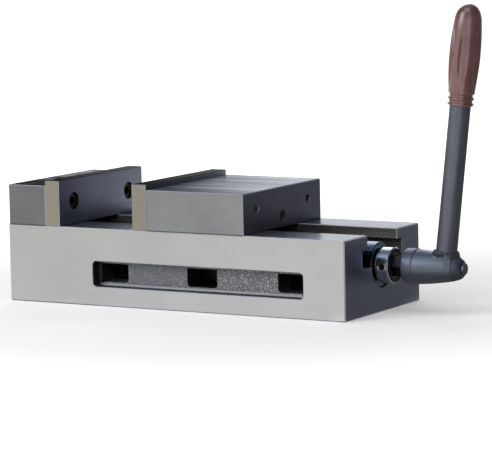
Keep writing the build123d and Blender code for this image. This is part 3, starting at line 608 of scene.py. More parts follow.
def jaw_iron(name, side_colour, dark, near_plate):
    """Ground jaw block: grey sides, and a streaky top with painted shade that darkens it towards the near
    side and the plate, which is at near_plate along X; painted shade on the ends and in the seam at the foot,
    and painted highlights on the chamfers."""
    colours = settings().colours
    material, shader, surface, (x, y, z) = new_material(name)
    masks = shader.group(faces_group()).outputs
    fine = shader.group(grind_group(), Stretch=(14, 420, 420), Blotch=22.0).outputs
    coarse = shader.group(grind_group(), Stretch=(6, 90, 90), Blotch=7.0).outputs
    side = shader.shade(side_colour, shader.grain(fine, (0.92, 1.07), (0.97, 1.03)))
    # Painted shade on the top: darker towards the near side and towards the movable plate, mixed with the
    # grinding streaks.
    across = shader.blend(shader.step(y, BODY_LOW.y, BODY_HIGH.y), -0.05, 0.50)
    along = shader.blend(shader.step(x, near_plate, near_plate + 100 * MM), 0.00, 0.60)
    streaks = shader.blend(coarse["Strokes"], -0.24, 0.24), shader.blend(fine["Strokes"], -0.12, 0.12)
    top_streaks_and_shade = shader.total(*streaks, across, along)
    top = shader.mix(top_streaks_and_shade, dark, colours.jaw_light)
    paint = shader.mix(masks["Top"], side, top)
    # Painted shade: the jaws' ends get the end colour darkened to 0.42 to 0.62 of it.
    end = shader.shade(colours.end, shader.blend(coarse["Tone"], 0.42, 0.62))
    paint = shader.mix(masks["End"], paint, end)
    # Painted highlight: the chamfers are painted bright.
    paint = shader.mix(masks["Chamfer"], paint, colours.jaw_edge_highlight)
    # Painted shadow: the jaw's lowest millimetre, at its seam with the body, is darkened down to a quarter.
    seam_shadow = shader.step(z, BODY_HIGH.z + 0.2 * MM, BODY_HIGH.z + 1.1 * MM)
    connect(shader, surface, Base_Color=shader.shade(paint, shader.blend(seam_shadow, 0.25, 1.0)))
    metal = shader.blend(masks["Top"], 0.70, shader.blend(top_streaks_and_shade, 0.0, 0.9))
    metal = shader.math("MAXIMUM", metal, shader.math("MULTIPLY", masks["End"], 0.9))
    connect(shader, surface, Metallic=metal)
    gloss = shader.blend(masks["Top"], 0.45, shader.blend(fine["Strokes"], 0.16, 0.30))
    connect(shader, surface, Roughness=shader.blend(masks["End"], gloss, 0.36))
    bump(shader, surface, fine["Strokes"], 0.02 * MM)
    surface.inputs["Specular IOR Level"].default_value = 0.0
    return material


def plate_steel():
    """Hardened jaw plate: warm tempered ends, a dark top edge and cool ground faces, both painted lighter
    towards the far side, and painted highlights on the outer chamfers.
    """
    colours = settings().colours
    material, shader, surface, (_, y, _) = new_material("hardened_plate")
    masks = shader.group(faces_group()).outputs
    grind = shader.group(grind_group(), Stretch=(700, 700, 40), Blotch=30.0).outputs
    along = shader.group(grind_group(), Stretch=(500, 14, 500), Blotch=9.0).outputs
    warm = shader.shade(colours.plate_end, shader.grain(grind, (0.93, 1.07), (0.97, 1.03)))
    # Painted light: the plates' faces and top edges get lighter towards the far side.
    rise = shader.step(y, BODY_LOW.y, BODY_HIGH.y)
    cool_tone = shader.both(shader.blend(along["Tone"], 0.88, 1.12), shader.blend(rise, 0.55, 1.35))
    cool = shader.shade(colours.plate_face, cool_tone)
    top_streaks_and_shade = shader.both(shader.blend(along["Strokes"], 0.85, 1.15), shader.blend(rise, 0.7, 2.2))
    top = shader.shade(colours.plate_top, top_streaks_and_shade)
    outer = shader.step(shader.math("ABSOLUTE", y), BODY_HIGH.y - 1.5 * MM, BODY_HIGH.y - 1.0 * MM)
    paint = shader.mix(outer, colours.front_wall, warm)
    paint = shader.mix(masks["End"], paint, cool)
    paint = shader.mix(masks["Top"], paint, top)
    # Painted highlight: half-bright chamfers at the plates' outer ends.
    paint = shader.mix(shader.both(masks["Chamfer"], outer, 0.5), paint, colours.edge)
    connect(shader, surface, Base_Color=paint)
    metal = shader.blend(masks["Side"], 0.85, 0.45)
    connect(shader, surface, Metallic=shader.blend(masks["Top"], metal, shader.blend(rise, 0.0, 0.2)))
    connect(shader, surface, Roughness=shader.blend(along["Strokes"], 0.30, 0.42))
    bump(shader, surface, along["Strokes"], 0.02 * MM)
    surface.inputs["Specular IOR Level"].default_value = 0.0
    return material


def turned_metal(
    name, paint, metallic, roughness, stretch=(900, 60, 60), grain=0.06, ends=None, face=None, flank=None
):
    """Turned or drawn metal: fine rings or lines in tone and gloss over a colour.

    ends is a place along X and the colour past it. face is a distance from the screw's axis and the colour of
    the end faces nearer than that. flank is a distance along Y to both sides and the colour past it.
    """
    material, shader, surface, (x, y, z) = new_material(name)
    grind = shader.group(grind_group(), Stretch=stretch, Blotch=60.0).outputs
    tone = shader.grain(grind, (1 - grain, 1 + grain), (1 - grain * 2, 1 + grain * 2))
    if ends:
        paint = shader.mix(shader.past(x, ends[0], 0.1 * MM), paint, ends[1])
    if flank:
        paint = shader.mix(shader.past(shader.math("ABSOLUTE", y), flank[0], 0.3 * MM), paint, flank[1])
    if face:
        flat = shader.add("ShaderNodeCombineXYZ", {1: y, 2: shader.math("SUBTRACT", z, AXIS_Z)}).outputs[0]
        inner = shader.past(shader.vector("LENGTH", flat, output="Value"), face[0], -0.1 * MM)
        end = shader.group(faces_group()).outputs["End"]
        paint = shader.mix(shader.both(end, inner), paint, face[1])
    connect(shader, surface, Base_Color=shader.shade(paint, tone))
    connect(shader, surface, Roughness=shader.blend(grind["Strokes"], roughness * 0.85, roughness * 1.2))
    bump(shader, surface, grind["Strokes"], 0.01 * MM)
    surface.inputs["Metallic"].default_value = metallic
    return material


def crank_iron():
    """Crank hub: rings of the lathe on the turned barrel, dark pitted scale on the forged skin and weld."""
    colours = settings().colours
    material, shader, surface, _ = new_material("crank_iron")
    turned = shader.add("ShaderNodeAttribute", attribute_name="turned").outputs["Fac"]
    cast = shader.group(cast_group(), Grain=1300.0).outputs
    rings = shader.group(grind_group(), Stretch=(1400, 40, 40), Blotch=70.0).outputs
    blotches = shader.group(grind_group(), Stretch=(260, 260, 160), Blotch=150.0).outputs
    barrel = shader.shade(colours.turned, shader.grain(rings, (0.93, 1.07), (0.93, 1.07)))
    scale = shader.grain(blotches, (0.70, 1.35), (0.80, 1.25))
    forged = shader.shade(colours.forged, shader.both(scale, shader.blend(cast["Specks"], 0.95, 1.5)))
    connect(shader, surface, Base_Color=shader.mix(turned, forged, barrel))
    connect(shader, surface, Metallic=shader.blend(turned, 0.35, 0.70))
    connect(shader, surface, Roughness=shader.blend(turned, shader.blend(blotches["Tone"], 0.34, 0.55), 0.40))
    pits = shader.math("ADD", cast["Height"], blotches["Tone"])
    height = shader.blend(turned, pits, shader.math("MULTIPLY", rings["Strokes"], 0.08))
    bump(shader, surface, height, 0.12 * MM)
    return material


def grip_plastic():
    """Moulded grip: glossy red-brown plastic, paler where hands have worn it, with flow marks, and painted
    shade in the pin hole.
    """
    colours = settings().colours
    material, shader, surface, _ = new_material("moulded_grip")
    flow = shader.group(grind_group(), Stretch=(420, 420, 60), Blotch=45.0).outputs
    wear = shader.group(grind_group(), Stretch=(900, 900, 140), Blotch=28.0).outputs
    worn = shader.both(shader.step(wear["Tone"], 0.45, 0.95), 0.45)
    paint = shader.mix(worn, colours.grip, colours.grip_worn)
    paint = shader.shade(paint, shader.grain(flow, (0.90, 1.12), (0.96, 1.04)))
    pin = shader.add("ShaderNodeAttribute", attribute_name="pin").outputs["Fac"]
    # Painted shade: the pin hole's colour is darkened to 5 %.
    connect(shader, surface, Base_Color=shader.shade(paint, shader.blend(pin, 1.0, 0.05)))
    connect(shader, surface, Coat_Weight=shader.no(pin))
    connect(shader, surface, Roughness=shader.blend(pin, shader.blend(worn, 0.26, 0.44), 0.9))
    bump(shader, surface, flow["Tone"], 0.08 * MM)
    surface.inputs["Coat Roughness"].default_value = 0.10
    return material


def dress(names, material):
    """Give CAD nodes a material."""
    for name in names:
        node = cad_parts[name]
        node.data.materials.clear()
        node.data.materials.append(material)


class VISE_OT_body(bpy.types.Operator):
    """Finish the body casting"""

    bl_idname = "vise.body"
    bl_label = "Body"

    def execute(self, context):
        dress(["vise_body"], body_iron())
        return {"FINISHED"}


class VISE_OT_jaws(bpy.types.Operator):
    """Finish the fixed and the movable jaw"""

    bl_idname = "vise.jaws"
    bl_label = "Jaws"

    def execute(self, context):
        colours = settings().colours
        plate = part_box("movable_jaw_plate")[1].x
        dress(["fixed_jaw"], jaw_iron("ground_fixed_jaw", colours.fixed_side, colours.fixed_top_dark, plate))
        dress(["movable_jaw"], jaw_iron("ground_movable_jaw", colours.jaw_side, colours.jaw_dark, plate))
        return {"FINISHED"}


class VISE_OT_plates(bpy.types.Operator):
    """Finish the two jaw plates"""

    bl_idname = "vise.plates"
    bl_label = "Jaw plates"

    def execute(self, context):
        dress(["fixed_jaw_plate", "movable_jaw_plate"], plate_steel())
        return {"FINISHED"}


class VISE_OT_fasteners(bpy.types.Operator):
    """Finish the screws, bolts and the key"""

    bl_idname = "vise.fasteners"
    bl_label = "Fasteners"

    def execute(self, context):
        colours = settings().colours
        black = turned_metal("black_oxide", colours.black, 0.5, 0.35, stretch=(300, 300, 300))
        dress(["fixed_jaw_bolts", "fixed_plate_screws", "movable_plate_screws"], black)
        dress(["jaw_set_screw", "housing_screws", "collar_set_screw"], black)
        dress(["fixed_jaw_key"], turned_metal("ground_key", colours.steel, 1.0, 0.3, stretch=(40, 900, 900)))
        return {"FINISHED"}


class VISE_OT_pull_down(bpy.types.Operator):
    """Finish the nut and the half ball"""

    bl_idname = "vise.pull_down"
    bl_label = "Pull-down"

    def execute(self, context):
        colours = settings().colours
        # Painted shade: the nut inside the body is near-black.
        dress(["clamp_nut"], turned_metal("machined_nut", colours.drive, 0.8, 0.4, stretch=(60, 700, 700)))
        dress(["pull_down_segment"], turned_metal("ground_segment", colours.steel, 1.0, 0.22))
        return {"FINISHED"}


class VISE_OT_bearing(bpy.types.Operator):
    """Finish the thrust bearing, its housing, the thrust washer and the stop collar"""

    bl_idname = "vise.bearing"
    bl_label = "Bearing and collar"

    def execute(self, context):
        colours = settings().colours
        steel = turned_metal("turned_steel", colours.steel, 1.0, 0.24)
        dress(["bearing_shaft_washer", "bearing_housing_washer", "bearing_balls"], steel)
        dark_flank = (15.5 * MM, colours.drive)
        housing = turned_metal("polished_housing", colours.housing, 1.0, 0.26, flank=dark_flank)
        dress(["bearing_housing"], housing)
        dress(["bearing_cage"], turned_metal("turned_brass", colours.brass, 1.0, 0.32))
        # Painted shadow: the washer is black on its side away from the collar, as the shadow in the gap, and
        # chrome like the collar within 1.7 mm of it.
        shadow_line = COLLAR_LOW.x - 1.7 * MM
        washer = turned_metal("hardened_washer", colours.black, 0.9, 0.2, ends=(shadow_line, colours.chrome))
        dress(["thrust_washer"], washer)
        # Painted shade: the collar's end faces within 16 mm of the axis are near-black.
        shaded_face = (16 * MM, colours.drive)
        collar = turned_metal("bright_collar", colours.chrome, 1.0, 0.20, grain=0.03, face=shaded_face)
        dress(["stop_collar"], collar)
        return {"FINISHED"}


class VISE_OT_lead_screw(bpy.types.Operator):
    """Cut the lead screw: left-hand thread, relief groove, shoulder, journal and hexagon drive"""

    bl_idname = "vise.lead_screw"
    bl_label = "Lead screw"

    def execute(self, context):
        """Make the screw: rings whose radius falls from crest to root by a smooth step of the distance from
        the crest's middle line, a left-hand helix. Lathe rings and a hexagon follow."""
        sizes = settings().screw
        around, steps_a_turn = 72, 18
        crest_share, flank_share = 0.34, 0.32
        angles = np.linspace(0, 2 * math.pi, around, endpoint=False)
        start, end = SCREW_LOW.x, sizes.relief_start
        rows = int(round((end - start) / sizes.pitch * steps_a_turn))
        along = np.linspace(start, end, rows)
        turns = along[:, None] / sizes.pitch + angles[None] / (2 * math.pi)
        wave = np.abs(np.mod(turns, 1) - 0.5) * 2
        flank = smooth_step((wave - crest_share) / flank_share)
        fade = smooth_step((end - along) / sizes.pitch) * smooth_step((along - start) / (2 * sizes.edge))
        thread = sizes.crest_radius - sizes.thread_depth * flank * fade[:, None]
        thread -= np.clip(sizes.edge - (along - start), 0, None)[:, None]
        chamfer, drive_chamfer, drive_edge = 0.5 * MM, 1 * MM, 0.4 * MM
        smooth_places = [
            (end, sizes.relief_radius),
            (sizes.shoulder_start, sizes.relief_radius),
            (sizes.shoulder_start, sizes.shoulder_radius - chamfer),
            (sizes.shoulder_start + chamfer, sizes.shoulder_radius),
            (sizes.shoulder_end, sizes.shoulder_radius),
            (sizes.shoulder_end, sizes.journal_radius),
            (sizes.journal_end - chamfer, sizes.journal_radius),
            (sizes.journal_end, sizes.journal_radius - chamfer),
        ]
        smooth_along, smooth_radius = np.array(smooth_places).T
        drive_along = np.array([sizes.journal_end, SCREW_HIGH.x - drive_chamfer, SCREW_HIGH.x])
        drive = np.tile(hexagon(sizes.drive_flats, angles), (3, 1))
        drive[2] = np.minimum(drive[2] - drive_edge, sizes.drive_flats / 2)
        radius = np.concatenate([thread, np.repeat(smooth_radius[:, None], around, axis=1), drive])
        along = np.concatenate([along, smooth_along, drive_along])
        rings = turned_rings(along, radius, (0, 0, AXIS_Z), (1, 0, 0), (0, 1, 0))
        piece = skin("lead_screw_thread", rings, (start, 0, AXIS_Z), (SCREW_HIGH.x, 0, AXIS_Z))
        colours = settings().colours
        # Painted shade: the hexagon drive, between the collar and the hub, is near-black.
        shaded_drive_end = (sizes.journal_end, colours.drive)
        steel = turned_metal("oiled_screw", colours.oiled, 0.9, 0.30, ends=shaded_drive_end)
        piece.data.materials.append(steel)
        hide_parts("lead_screw")
        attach(piece, "screw")
        return {"FINISHED"}


def arm_line():
    """Return the foot, the direction and the across direction of the rod's centre line."""
    sizes = settings().crank
    sine, cosine = math.sin(sizes.arm_lean), math.cos(sizes.arm_lean)
    return np.array([sizes.arm_foot, 0, AXIS_Z]), np.array([sine, 0, cosine]), np.array([cosine, 0, -sine])


def arc_height(along, first, middle, last):
    """Height, at each place, of the circle through three points. Its centre solves two linear equations:
    it is as far from the first point as from each of the others."""
    points = np.array([first, middle, last])
    equations = 2 * (points[1:] - points[0])
    known = (points[1:] ** 2).sum(axis=1) - (points[0] ** 2).sum()
    centre = np.linalg.solve(equations, known)
    radius = np.linalg.norm(points[0] - centre)
    side = np.sign(points[1, 1] - centre[1])
    return centre[1] + side * np.sqrt(np.clip(radius**2 - (along - centre[0]) ** 2, 0, None))


class VISE_OT_hub(bpy.types.Operator):
    """Forge the crank hub: a collar, a turned barrel, a domed nose, and a boss with a weld round the rod"""

    bl_idname = "vise.hub"
    bl_label = "Crank hub"

    def barrel(self, along):
        """Radius of the barrel along X: an arc from the step to the dome, then the dome's circle."""
        sizes = settings().crank
        nose = HUB_HIGH.x - sizes.nose_radius
        start = (HUB_LOW.x + sizes.collar_length + sizes.collar_step, sizes.collar_radius - sizes.collar_step)
        end_x = nose + sizes.nose_radius * math.cos(sizes.nose_arc)
        end = (end_x, sizes.nose_radius * math.sin(sizes.nose_arc))
        arc = arc_height(along, start, (sizes.arm_foot, sizes.middle_radius), end)
        dome = np.sqrt(np.clip(sizes.nose_radius**2 - (along - nose) ** 2, 0, None))
        return np.where(along < end_x, arc, dome)

    def distances(self, points):
        """Signed distances to the barrel, the boss and the weld.

        The barrel's is the distance from the screw's axis less its radius, or from the dome's centre past
        it, cut flat at the nose and joined to a short stub. The boss's is that of a capped cylinder with a
        rounded rim, whose foot rises with the angle from the nose, because the lathe cut it away there. The
        weld's is that of a ring whose thickness swells with cosines of the angle about the rod.
        """
        sizes = settings().crank
        nose_blend, stub_blend, fade_width = 1 * MM, 0.3 * MM, 0.3
        ripple_share, swell_share, swells = 0.16, 0.12, 5
        foot, lean, across = arm_line()
        nose = HUB_HIGH.x - sizes.nose_radius
        along = points[..., 0]
        away = np.hypot(points[..., 1], points[..., 2] - AXIS_Z)
        from_nose = np.sqrt((along - nose) ** 2 + away**2) - sizes.nose_radius
        past = along > nose + sizes.nose_radius * math.cos(sizes.nose_arc)
        barrel = np.where(past, from_nose, away - self.barrel(along))
        barrel = -smooth_least(-barrel, sizes.nose_face - along, nose_blend)
        stub = np.maximum(away - sizes.stub_radius, along - sizes.stub_end)
        barrel = smooth_least(barrel, stub, stub_blend)
        from_foot = points - foot
        height = from_foot @ lean
        sideways = from_foot - height[..., None] * lean
        reach = np.linalg.norm(sideways, axis=-1)
        opening = np.arctan2(away, along - foot[0])
        shallow = smooth_step((opening - sizes.boss_fade) / fade_width)
        bottom = -sizes.boss_depth + (sizes.boss_foot + sizes.boss_depth) * shallow
        side = reach - sizes.boss_radius + sizes.boss_rim
        top = np.maximum(height - sizes.boss_reach, bottom - height) + sizes.boss_rim
        outside = np.hypot(np.clip(side, 0, None), np.clip(top, 0, None))
        boss = outside + np.minimum(np.maximum(side, top), 0) - sizes.boss_rim
        around = np.arctan2(sideways[..., 1], sideways @ across)
        ripple = 1 + ripple_share * np.cos(sizes.weld_ripples * around)
        ripple = ripple + swell_share * np.cos(swells * around + 1)
        drop = height - sizes.boss_reach + sizes.weld_drop
        weld = np.hypot(reach - sizes.weld_radius, drop) - sizes.weld_bead * ripple
        return barrel, boss, weld

    def skin_lumps(self, points):
        """Uneven forged skin: a product of slow waves plus a product of quicker ones."""
        x, y, z = np.moveaxis(points, -1, 0) / MM
        slow = np.sin(0.9 * x + 0.4 * z) * np.sin(0.8 * y + 1.0) * np.sin(0.7 * z + 0.5 * x)
        quick = np.sin(2.3 * x + 0.7 * y) * np.sin(2.1 * z + 1.3 * y)
        return 0.7 * slow + 0.3 * quick

    def forging(self, angles):
        """Points and turned mask of the hub past its collar.

        Each ring is a cone of rays from the foot of the rod, and rings are closer at the turned part's end
        and at the stub. Halvings of an interval find where a ray leaves the smooth union of barrel, boss and
        weld. The turned part is the barrel below the weld and short of the nose.
        """
        sizes = settings().crank
        halvings, furthest = 30, 40 * MM
        weld_edge, turned_edge, stub_edge, skin_fade = 0.5 * MM, 0.3 * MM, 0.2 * MM, 2 * MM
        foot, _, _ = arm_line()
        start_x = HUB_LOW.x + sizes.collar_length + sizes.collar_step
        widest = math.atan2(sizes.collar_radius - sizes.collar_step, start_x - sizes.arm_foot)
        turn_at = math.atan2(self.barrel(np.array([sizes.turned_end]))[0], sizes.turned_end - sizes.arm_foot)
        stub_at = math.atan2(sizes.stub_radius, sizes.nose_face - sizes.arm_foot)
        opening = np.concatenate([
            np.linspace(widest, turn_at + 0.01, 110),
            np.linspace(turn_at + 0.004, stub_at + 0.04, 40),
            np.linspace(stub_at + 0.035, stub_at - 0.045, 22),
            np.linspace(stub_at - 0.05, 0.02, 10),
        ])[:, None]
        rays = np.stack([
            np.cos(opening) + 0 * angles, np.sin(opening) * np.cos(angles), np.sin(opening) * np.sin(angles)
        ], axis=-1)
        low = np.zeros(rays.shape[:2])
        high = np.full_like(low, furthest)
        for _ in range(halvings):
            middle = (low + high) / 2
            barrel, boss, weld = self.distances(foot + middle[..., None] * rays)
            joined = smooth_least(smooth_least(barrel, boss, sizes.boss_blend), weld, sizes.weld_blend)
            low, high = np.where(joined < 0, middle, low), np.where(joined < 0, high, middle)
        points = foot + low[..., None] * rays
        _, _, weld = self.distances(points)
        clear = smooth_step((weld - sizes.weld_blend) / weld_edge)
        turned = clear * smooth_step((sizes.turned_end - points[..., 0]) / turned_edge + 0.5)
        turned = np.maximum(turned, smooth_step((points[..., 0] - sizes.nose_face) / stub_edge - 1))
        rough = (1 - turned) * (sizes.turned_rise + sizes.skin_depth * (1 + self.skin_lumps(points)))
        rough *= smooth_step((points[..., 0] - start_x) / skin_fade)
        return points - rough[..., None] * rays, turned

    def execute(self, context):
        """Make the hub: lathe rings of the socket and the collar, whose rim is a quarter circle, then the
        forging."""
        sizes = settings().crank
        count = 256
        socket_chamfer, socket_edge, step_width, step_height = 1 * MM, 0.8 * MM, 0.3 * MM, 0.2 * MM
        angles = np.linspace(0, 2 * math.pi, count, endpoint=False)
        socket = hexagon(sizes.socket_flats, angles)
        face, bottom = HUB_LOW.x, HUB_LOW.x + sizes.socket_depth
        step_at = face + sizes.collar_length
        rim_angles = np.linspace(0, math.pi / 2, 7)
        rim_along = face + sizes.edge * (1 - np.cos(rim_angles))
        rim_radius = sizes.collar_radius - sizes.edge * (1 - np.sin(rim_angles))
        socket_along = [bottom, face + socket_chamfer, face]
        along = np.concatenate([socket_along, rim_along, [step_at - step_width, step_at]])
        step_radius = [sizes.collar_radius, sizes.collar_radius - step_height]
        round_radius = np.concatenate([rim_radius, step_radius])
        radius = np.concatenate([
            np.stack([socket, socket, socket + socket_edge]), np.repeat(round_radius[:, None], count, axis=1)
        ])
        collar = turned_rings(along, radius, (0, 0, AXIS_Z), (1, 0, 0), (0, 1, 0))
        forged, turned = self.forging(angles)
        mask = np.concatenate([np.ones(collar.shape[:2]), turned]).reshape(-1)
        rings = np.concatenate([collar, forged])
        tip = rings[-1].mean(axis=0)
        piece = skin("crank_hub_forging", rings, (bottom, 0, AXIS_Z), tip)
        store = piece.data.attributes.new("turned", "FLOAT", "POINT")
        store.data.foreach_set("value", np.concatenate([mask, [1.0, 0.0]]))
        piece.data.materials.append(crank_iron())
        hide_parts("crank_hub")
        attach(piece, "crank")
        return {"FINISHED"}


class VISE_OT_rod(bpy.types.Operator):
    """Draw the crank's rod"""

    bl_idname = "vise.rod"
    bl_label = "Crank rod"

    def execute(self, context):
        """Make the rod: rings of one radius about its centre line, with a chamfer at each end."""
        sizes = settings().crank
        around, rows = 64, 60
        foot, lean, across = arm_line()
        inner = np.linspace(sizes.rod_start + sizes.edge, sizes.rod_end - sizes.edge, rows)
        along = np.concatenate([[sizes.rod_start], inner, [sizes.rod_end]])
        radius = np.full((len(along), around), sizes.rod_radius)
        radius[[0, -1]] -= sizes.edge
        rings = turned_rings(along, radius, foot, lean, across)
        piece = skin("crank_rod_bar", rings, foot + lean * sizes.rod_start, foot + lean * sizes.rod_end)
        drawn = turned_metal("drawn_rod", settings().colours.rod, 0.55, 0.42, stretch=(260, 260, 12))
        piece.data.materials.append(drawn)
        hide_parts("crank_rod")
        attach(piece, "crank")
        return {"FINISHED"}


def hermite(value, start, end, first, last, slope_first, slope_last):
    """Cubic through two heights with a slope at each end: the sum of Hermite's four cubics times them."""
    span = end - start
    t = (value - start) / span
    heights = first * (1 + 2 * t) * (1 - t) ** 2 + last * t**2 * (3 - 2 * t)
    return heights + span * (slope_first * t * (1 - t) ** 2 + slope_last * t**2 * (t - 1))


class VISE_OT_grip(bpy.types.Operator):
    """Mould the grip: ribs at its root, a swelling body with flutes and a pin hole, and a domed top"""

    bl_idname = "vise.grip"
    bl_label = "Crank grip"

    def outline(self, along):
        """Radius of the grip without its flutes, at each distance from its root.

        The root is straight with half-round ribs and ends in a sloped lip. The body is two cubics that meet
        at the belly, and the dome is a quarter of an ellipse less a small term that gives it the body's
        slope.
        """
        sizes = settings().grip
        shoulder = sizes.length - sizes.dome
        lip = sizes.waist + sizes.lip_edge
        body = np.interp(along, [sizes.waist, lip], [sizes.root_radius, sizes.lip_radius])
        for rib in range(sizes.rib_count):
            offset = along - sizes.rib_margin - rib * sizes.rib_pitch
            bead = np.sqrt(np.clip(sizes.rib_radius**2 - offset**2, 0, None))
            body = np.maximum(body, sizes.root_radius + bead)
        lower = hermite(along, lip, sizes.belly_at, sizes.lip_radius, sizes.belly_radius, sizes.lip_slope, 0)
        upper = hermite(
            along, sizes.belly_at, shoulder, sizes.belly_radius, sizes.top_radius, 0, -sizes.top_slope
        )
        body = np.where(along > lip, np.where(along < sizes.belly_at, lower, upper), body)
        rise = np.clip((along - shoulder) / sizes.dome, 0, 1)
        slope = sizes.top_slope * sizes.dome * rise * (1 - rise) ** 2
        dome = sizes.top_radius * np.sqrt(1 - rise**2) - slope
        return np.where(along > shoulder, dome, body)

    def execute(self, context):
        """Make the grip: its outline round the rod's line, less the flutes and the pin hole.

        A flute is the near side of a circle of radius flute_round about a centre beyond the surface, and it
        gets shallower with the square of the distance from its middle. The pin hole is a smooth step of the
        distance from its centre on the surface.
        """
        sizes = settings().grip
        foot, lean, across = arm_line()
        around, waist_rows, lip_rows, body_rows, dome_rows = 216, 60, 5, 150, 26
        least_depth, pin_sharpness = 0.02 * MM, 2.5
        bore_gap, bore_depth = 0.05 * MM, 3 * MM
        angles = np.linspace(0, 2 * math.pi, around, endpoint=False)
        shoulder = sizes.length - sizes.dome
        lip = sizes.waist + sizes.lip_edge
        dome = shoulder + sizes.dome * np.sin(np.linspace(0, math.pi / 2, dome_rows)[1:-1])
        along = np.concatenate([
            np.linspace(0, sizes.waist, waist_rows),
            np.linspace(sizes.waist, lip, lip_rows)[1:],
            np.linspace(lip, shoulder, body_rows)[1:],
            dome,
        ])
        plain_radius = self.outline(along)
        radius = np.repeat(plain_radius[:, None], around, axis=1)
        from_middle = np.abs(along - sizes.flute_middle) / (sizes.flute_length / 2)
        depth = sizes.flute_depth * np.clip(1 - from_middle**2, 0, None) - least_depth
        centre = (plain_radius - depth + sizes.flute_round)[:, None]
        for flute in range(sizes.flute_count):
            turn = (angles - sizes.flute_turn - flute * 2 * math.pi / sizes.flute_count)[None]
            inside = sizes.flute_round**2 - (centre * np.sin(turn)) ** 2
            floor = centre * np.cos(turn) - np.sqrt(np.clip(inside, 0, None))
            cuts = (inside > 0) & (np.cos(turn) > 0) & (from_middle[:, None] < 1)
            joined = smooth_least(radius, np.where(cuts, floor, 1.0), sizes.flute_edge)
            radius = np.where(cuts, joined, radius)
        from_turn = np.abs(np.mod(angles - sizes.pin_turn + math.pi, 2 * math.pi) - math.pi)
        sideways = from_turn[None] * sizes.belly_radius
        from_pin = np.hypot(along[:, None] - sizes.pin_at, sideways) / sizes.pin_radius
        pin = smooth_step((1 - from_pin) * pin_sharpness)
        radius = radius - sizes.pin_depth * pin
        bore = np.full((2, around), settings().crank.rod_radius + bore_gap)
        along = np.concatenate([[bore_depth, 0], along])
        radius = np.concatenate([bore, radius])
        rings = turned_rings(along, radius, foot + lean * sizes.start, lean, across)
        top = foot + lean * (sizes.start + sizes.length)
        piece = skin("crank_grip_moulding", rings, None, top, sharp=math.radians(50))
        # The pin mask is kept so that the material paints shade into the pin hole.
        mask = np.concatenate([np.zeros((2, around)), pin]).reshape(-1)
        store = piece.data.attributes.new("pin", "FLOAT", "POINT")
        store.data.foreach_set("value", np.concatenate([mask, [0.0]]))
        piece.data.materials.append(grip_plastic())
        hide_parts("crank_grip")
        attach(piece, "crank")
        return {"FINISHED"}


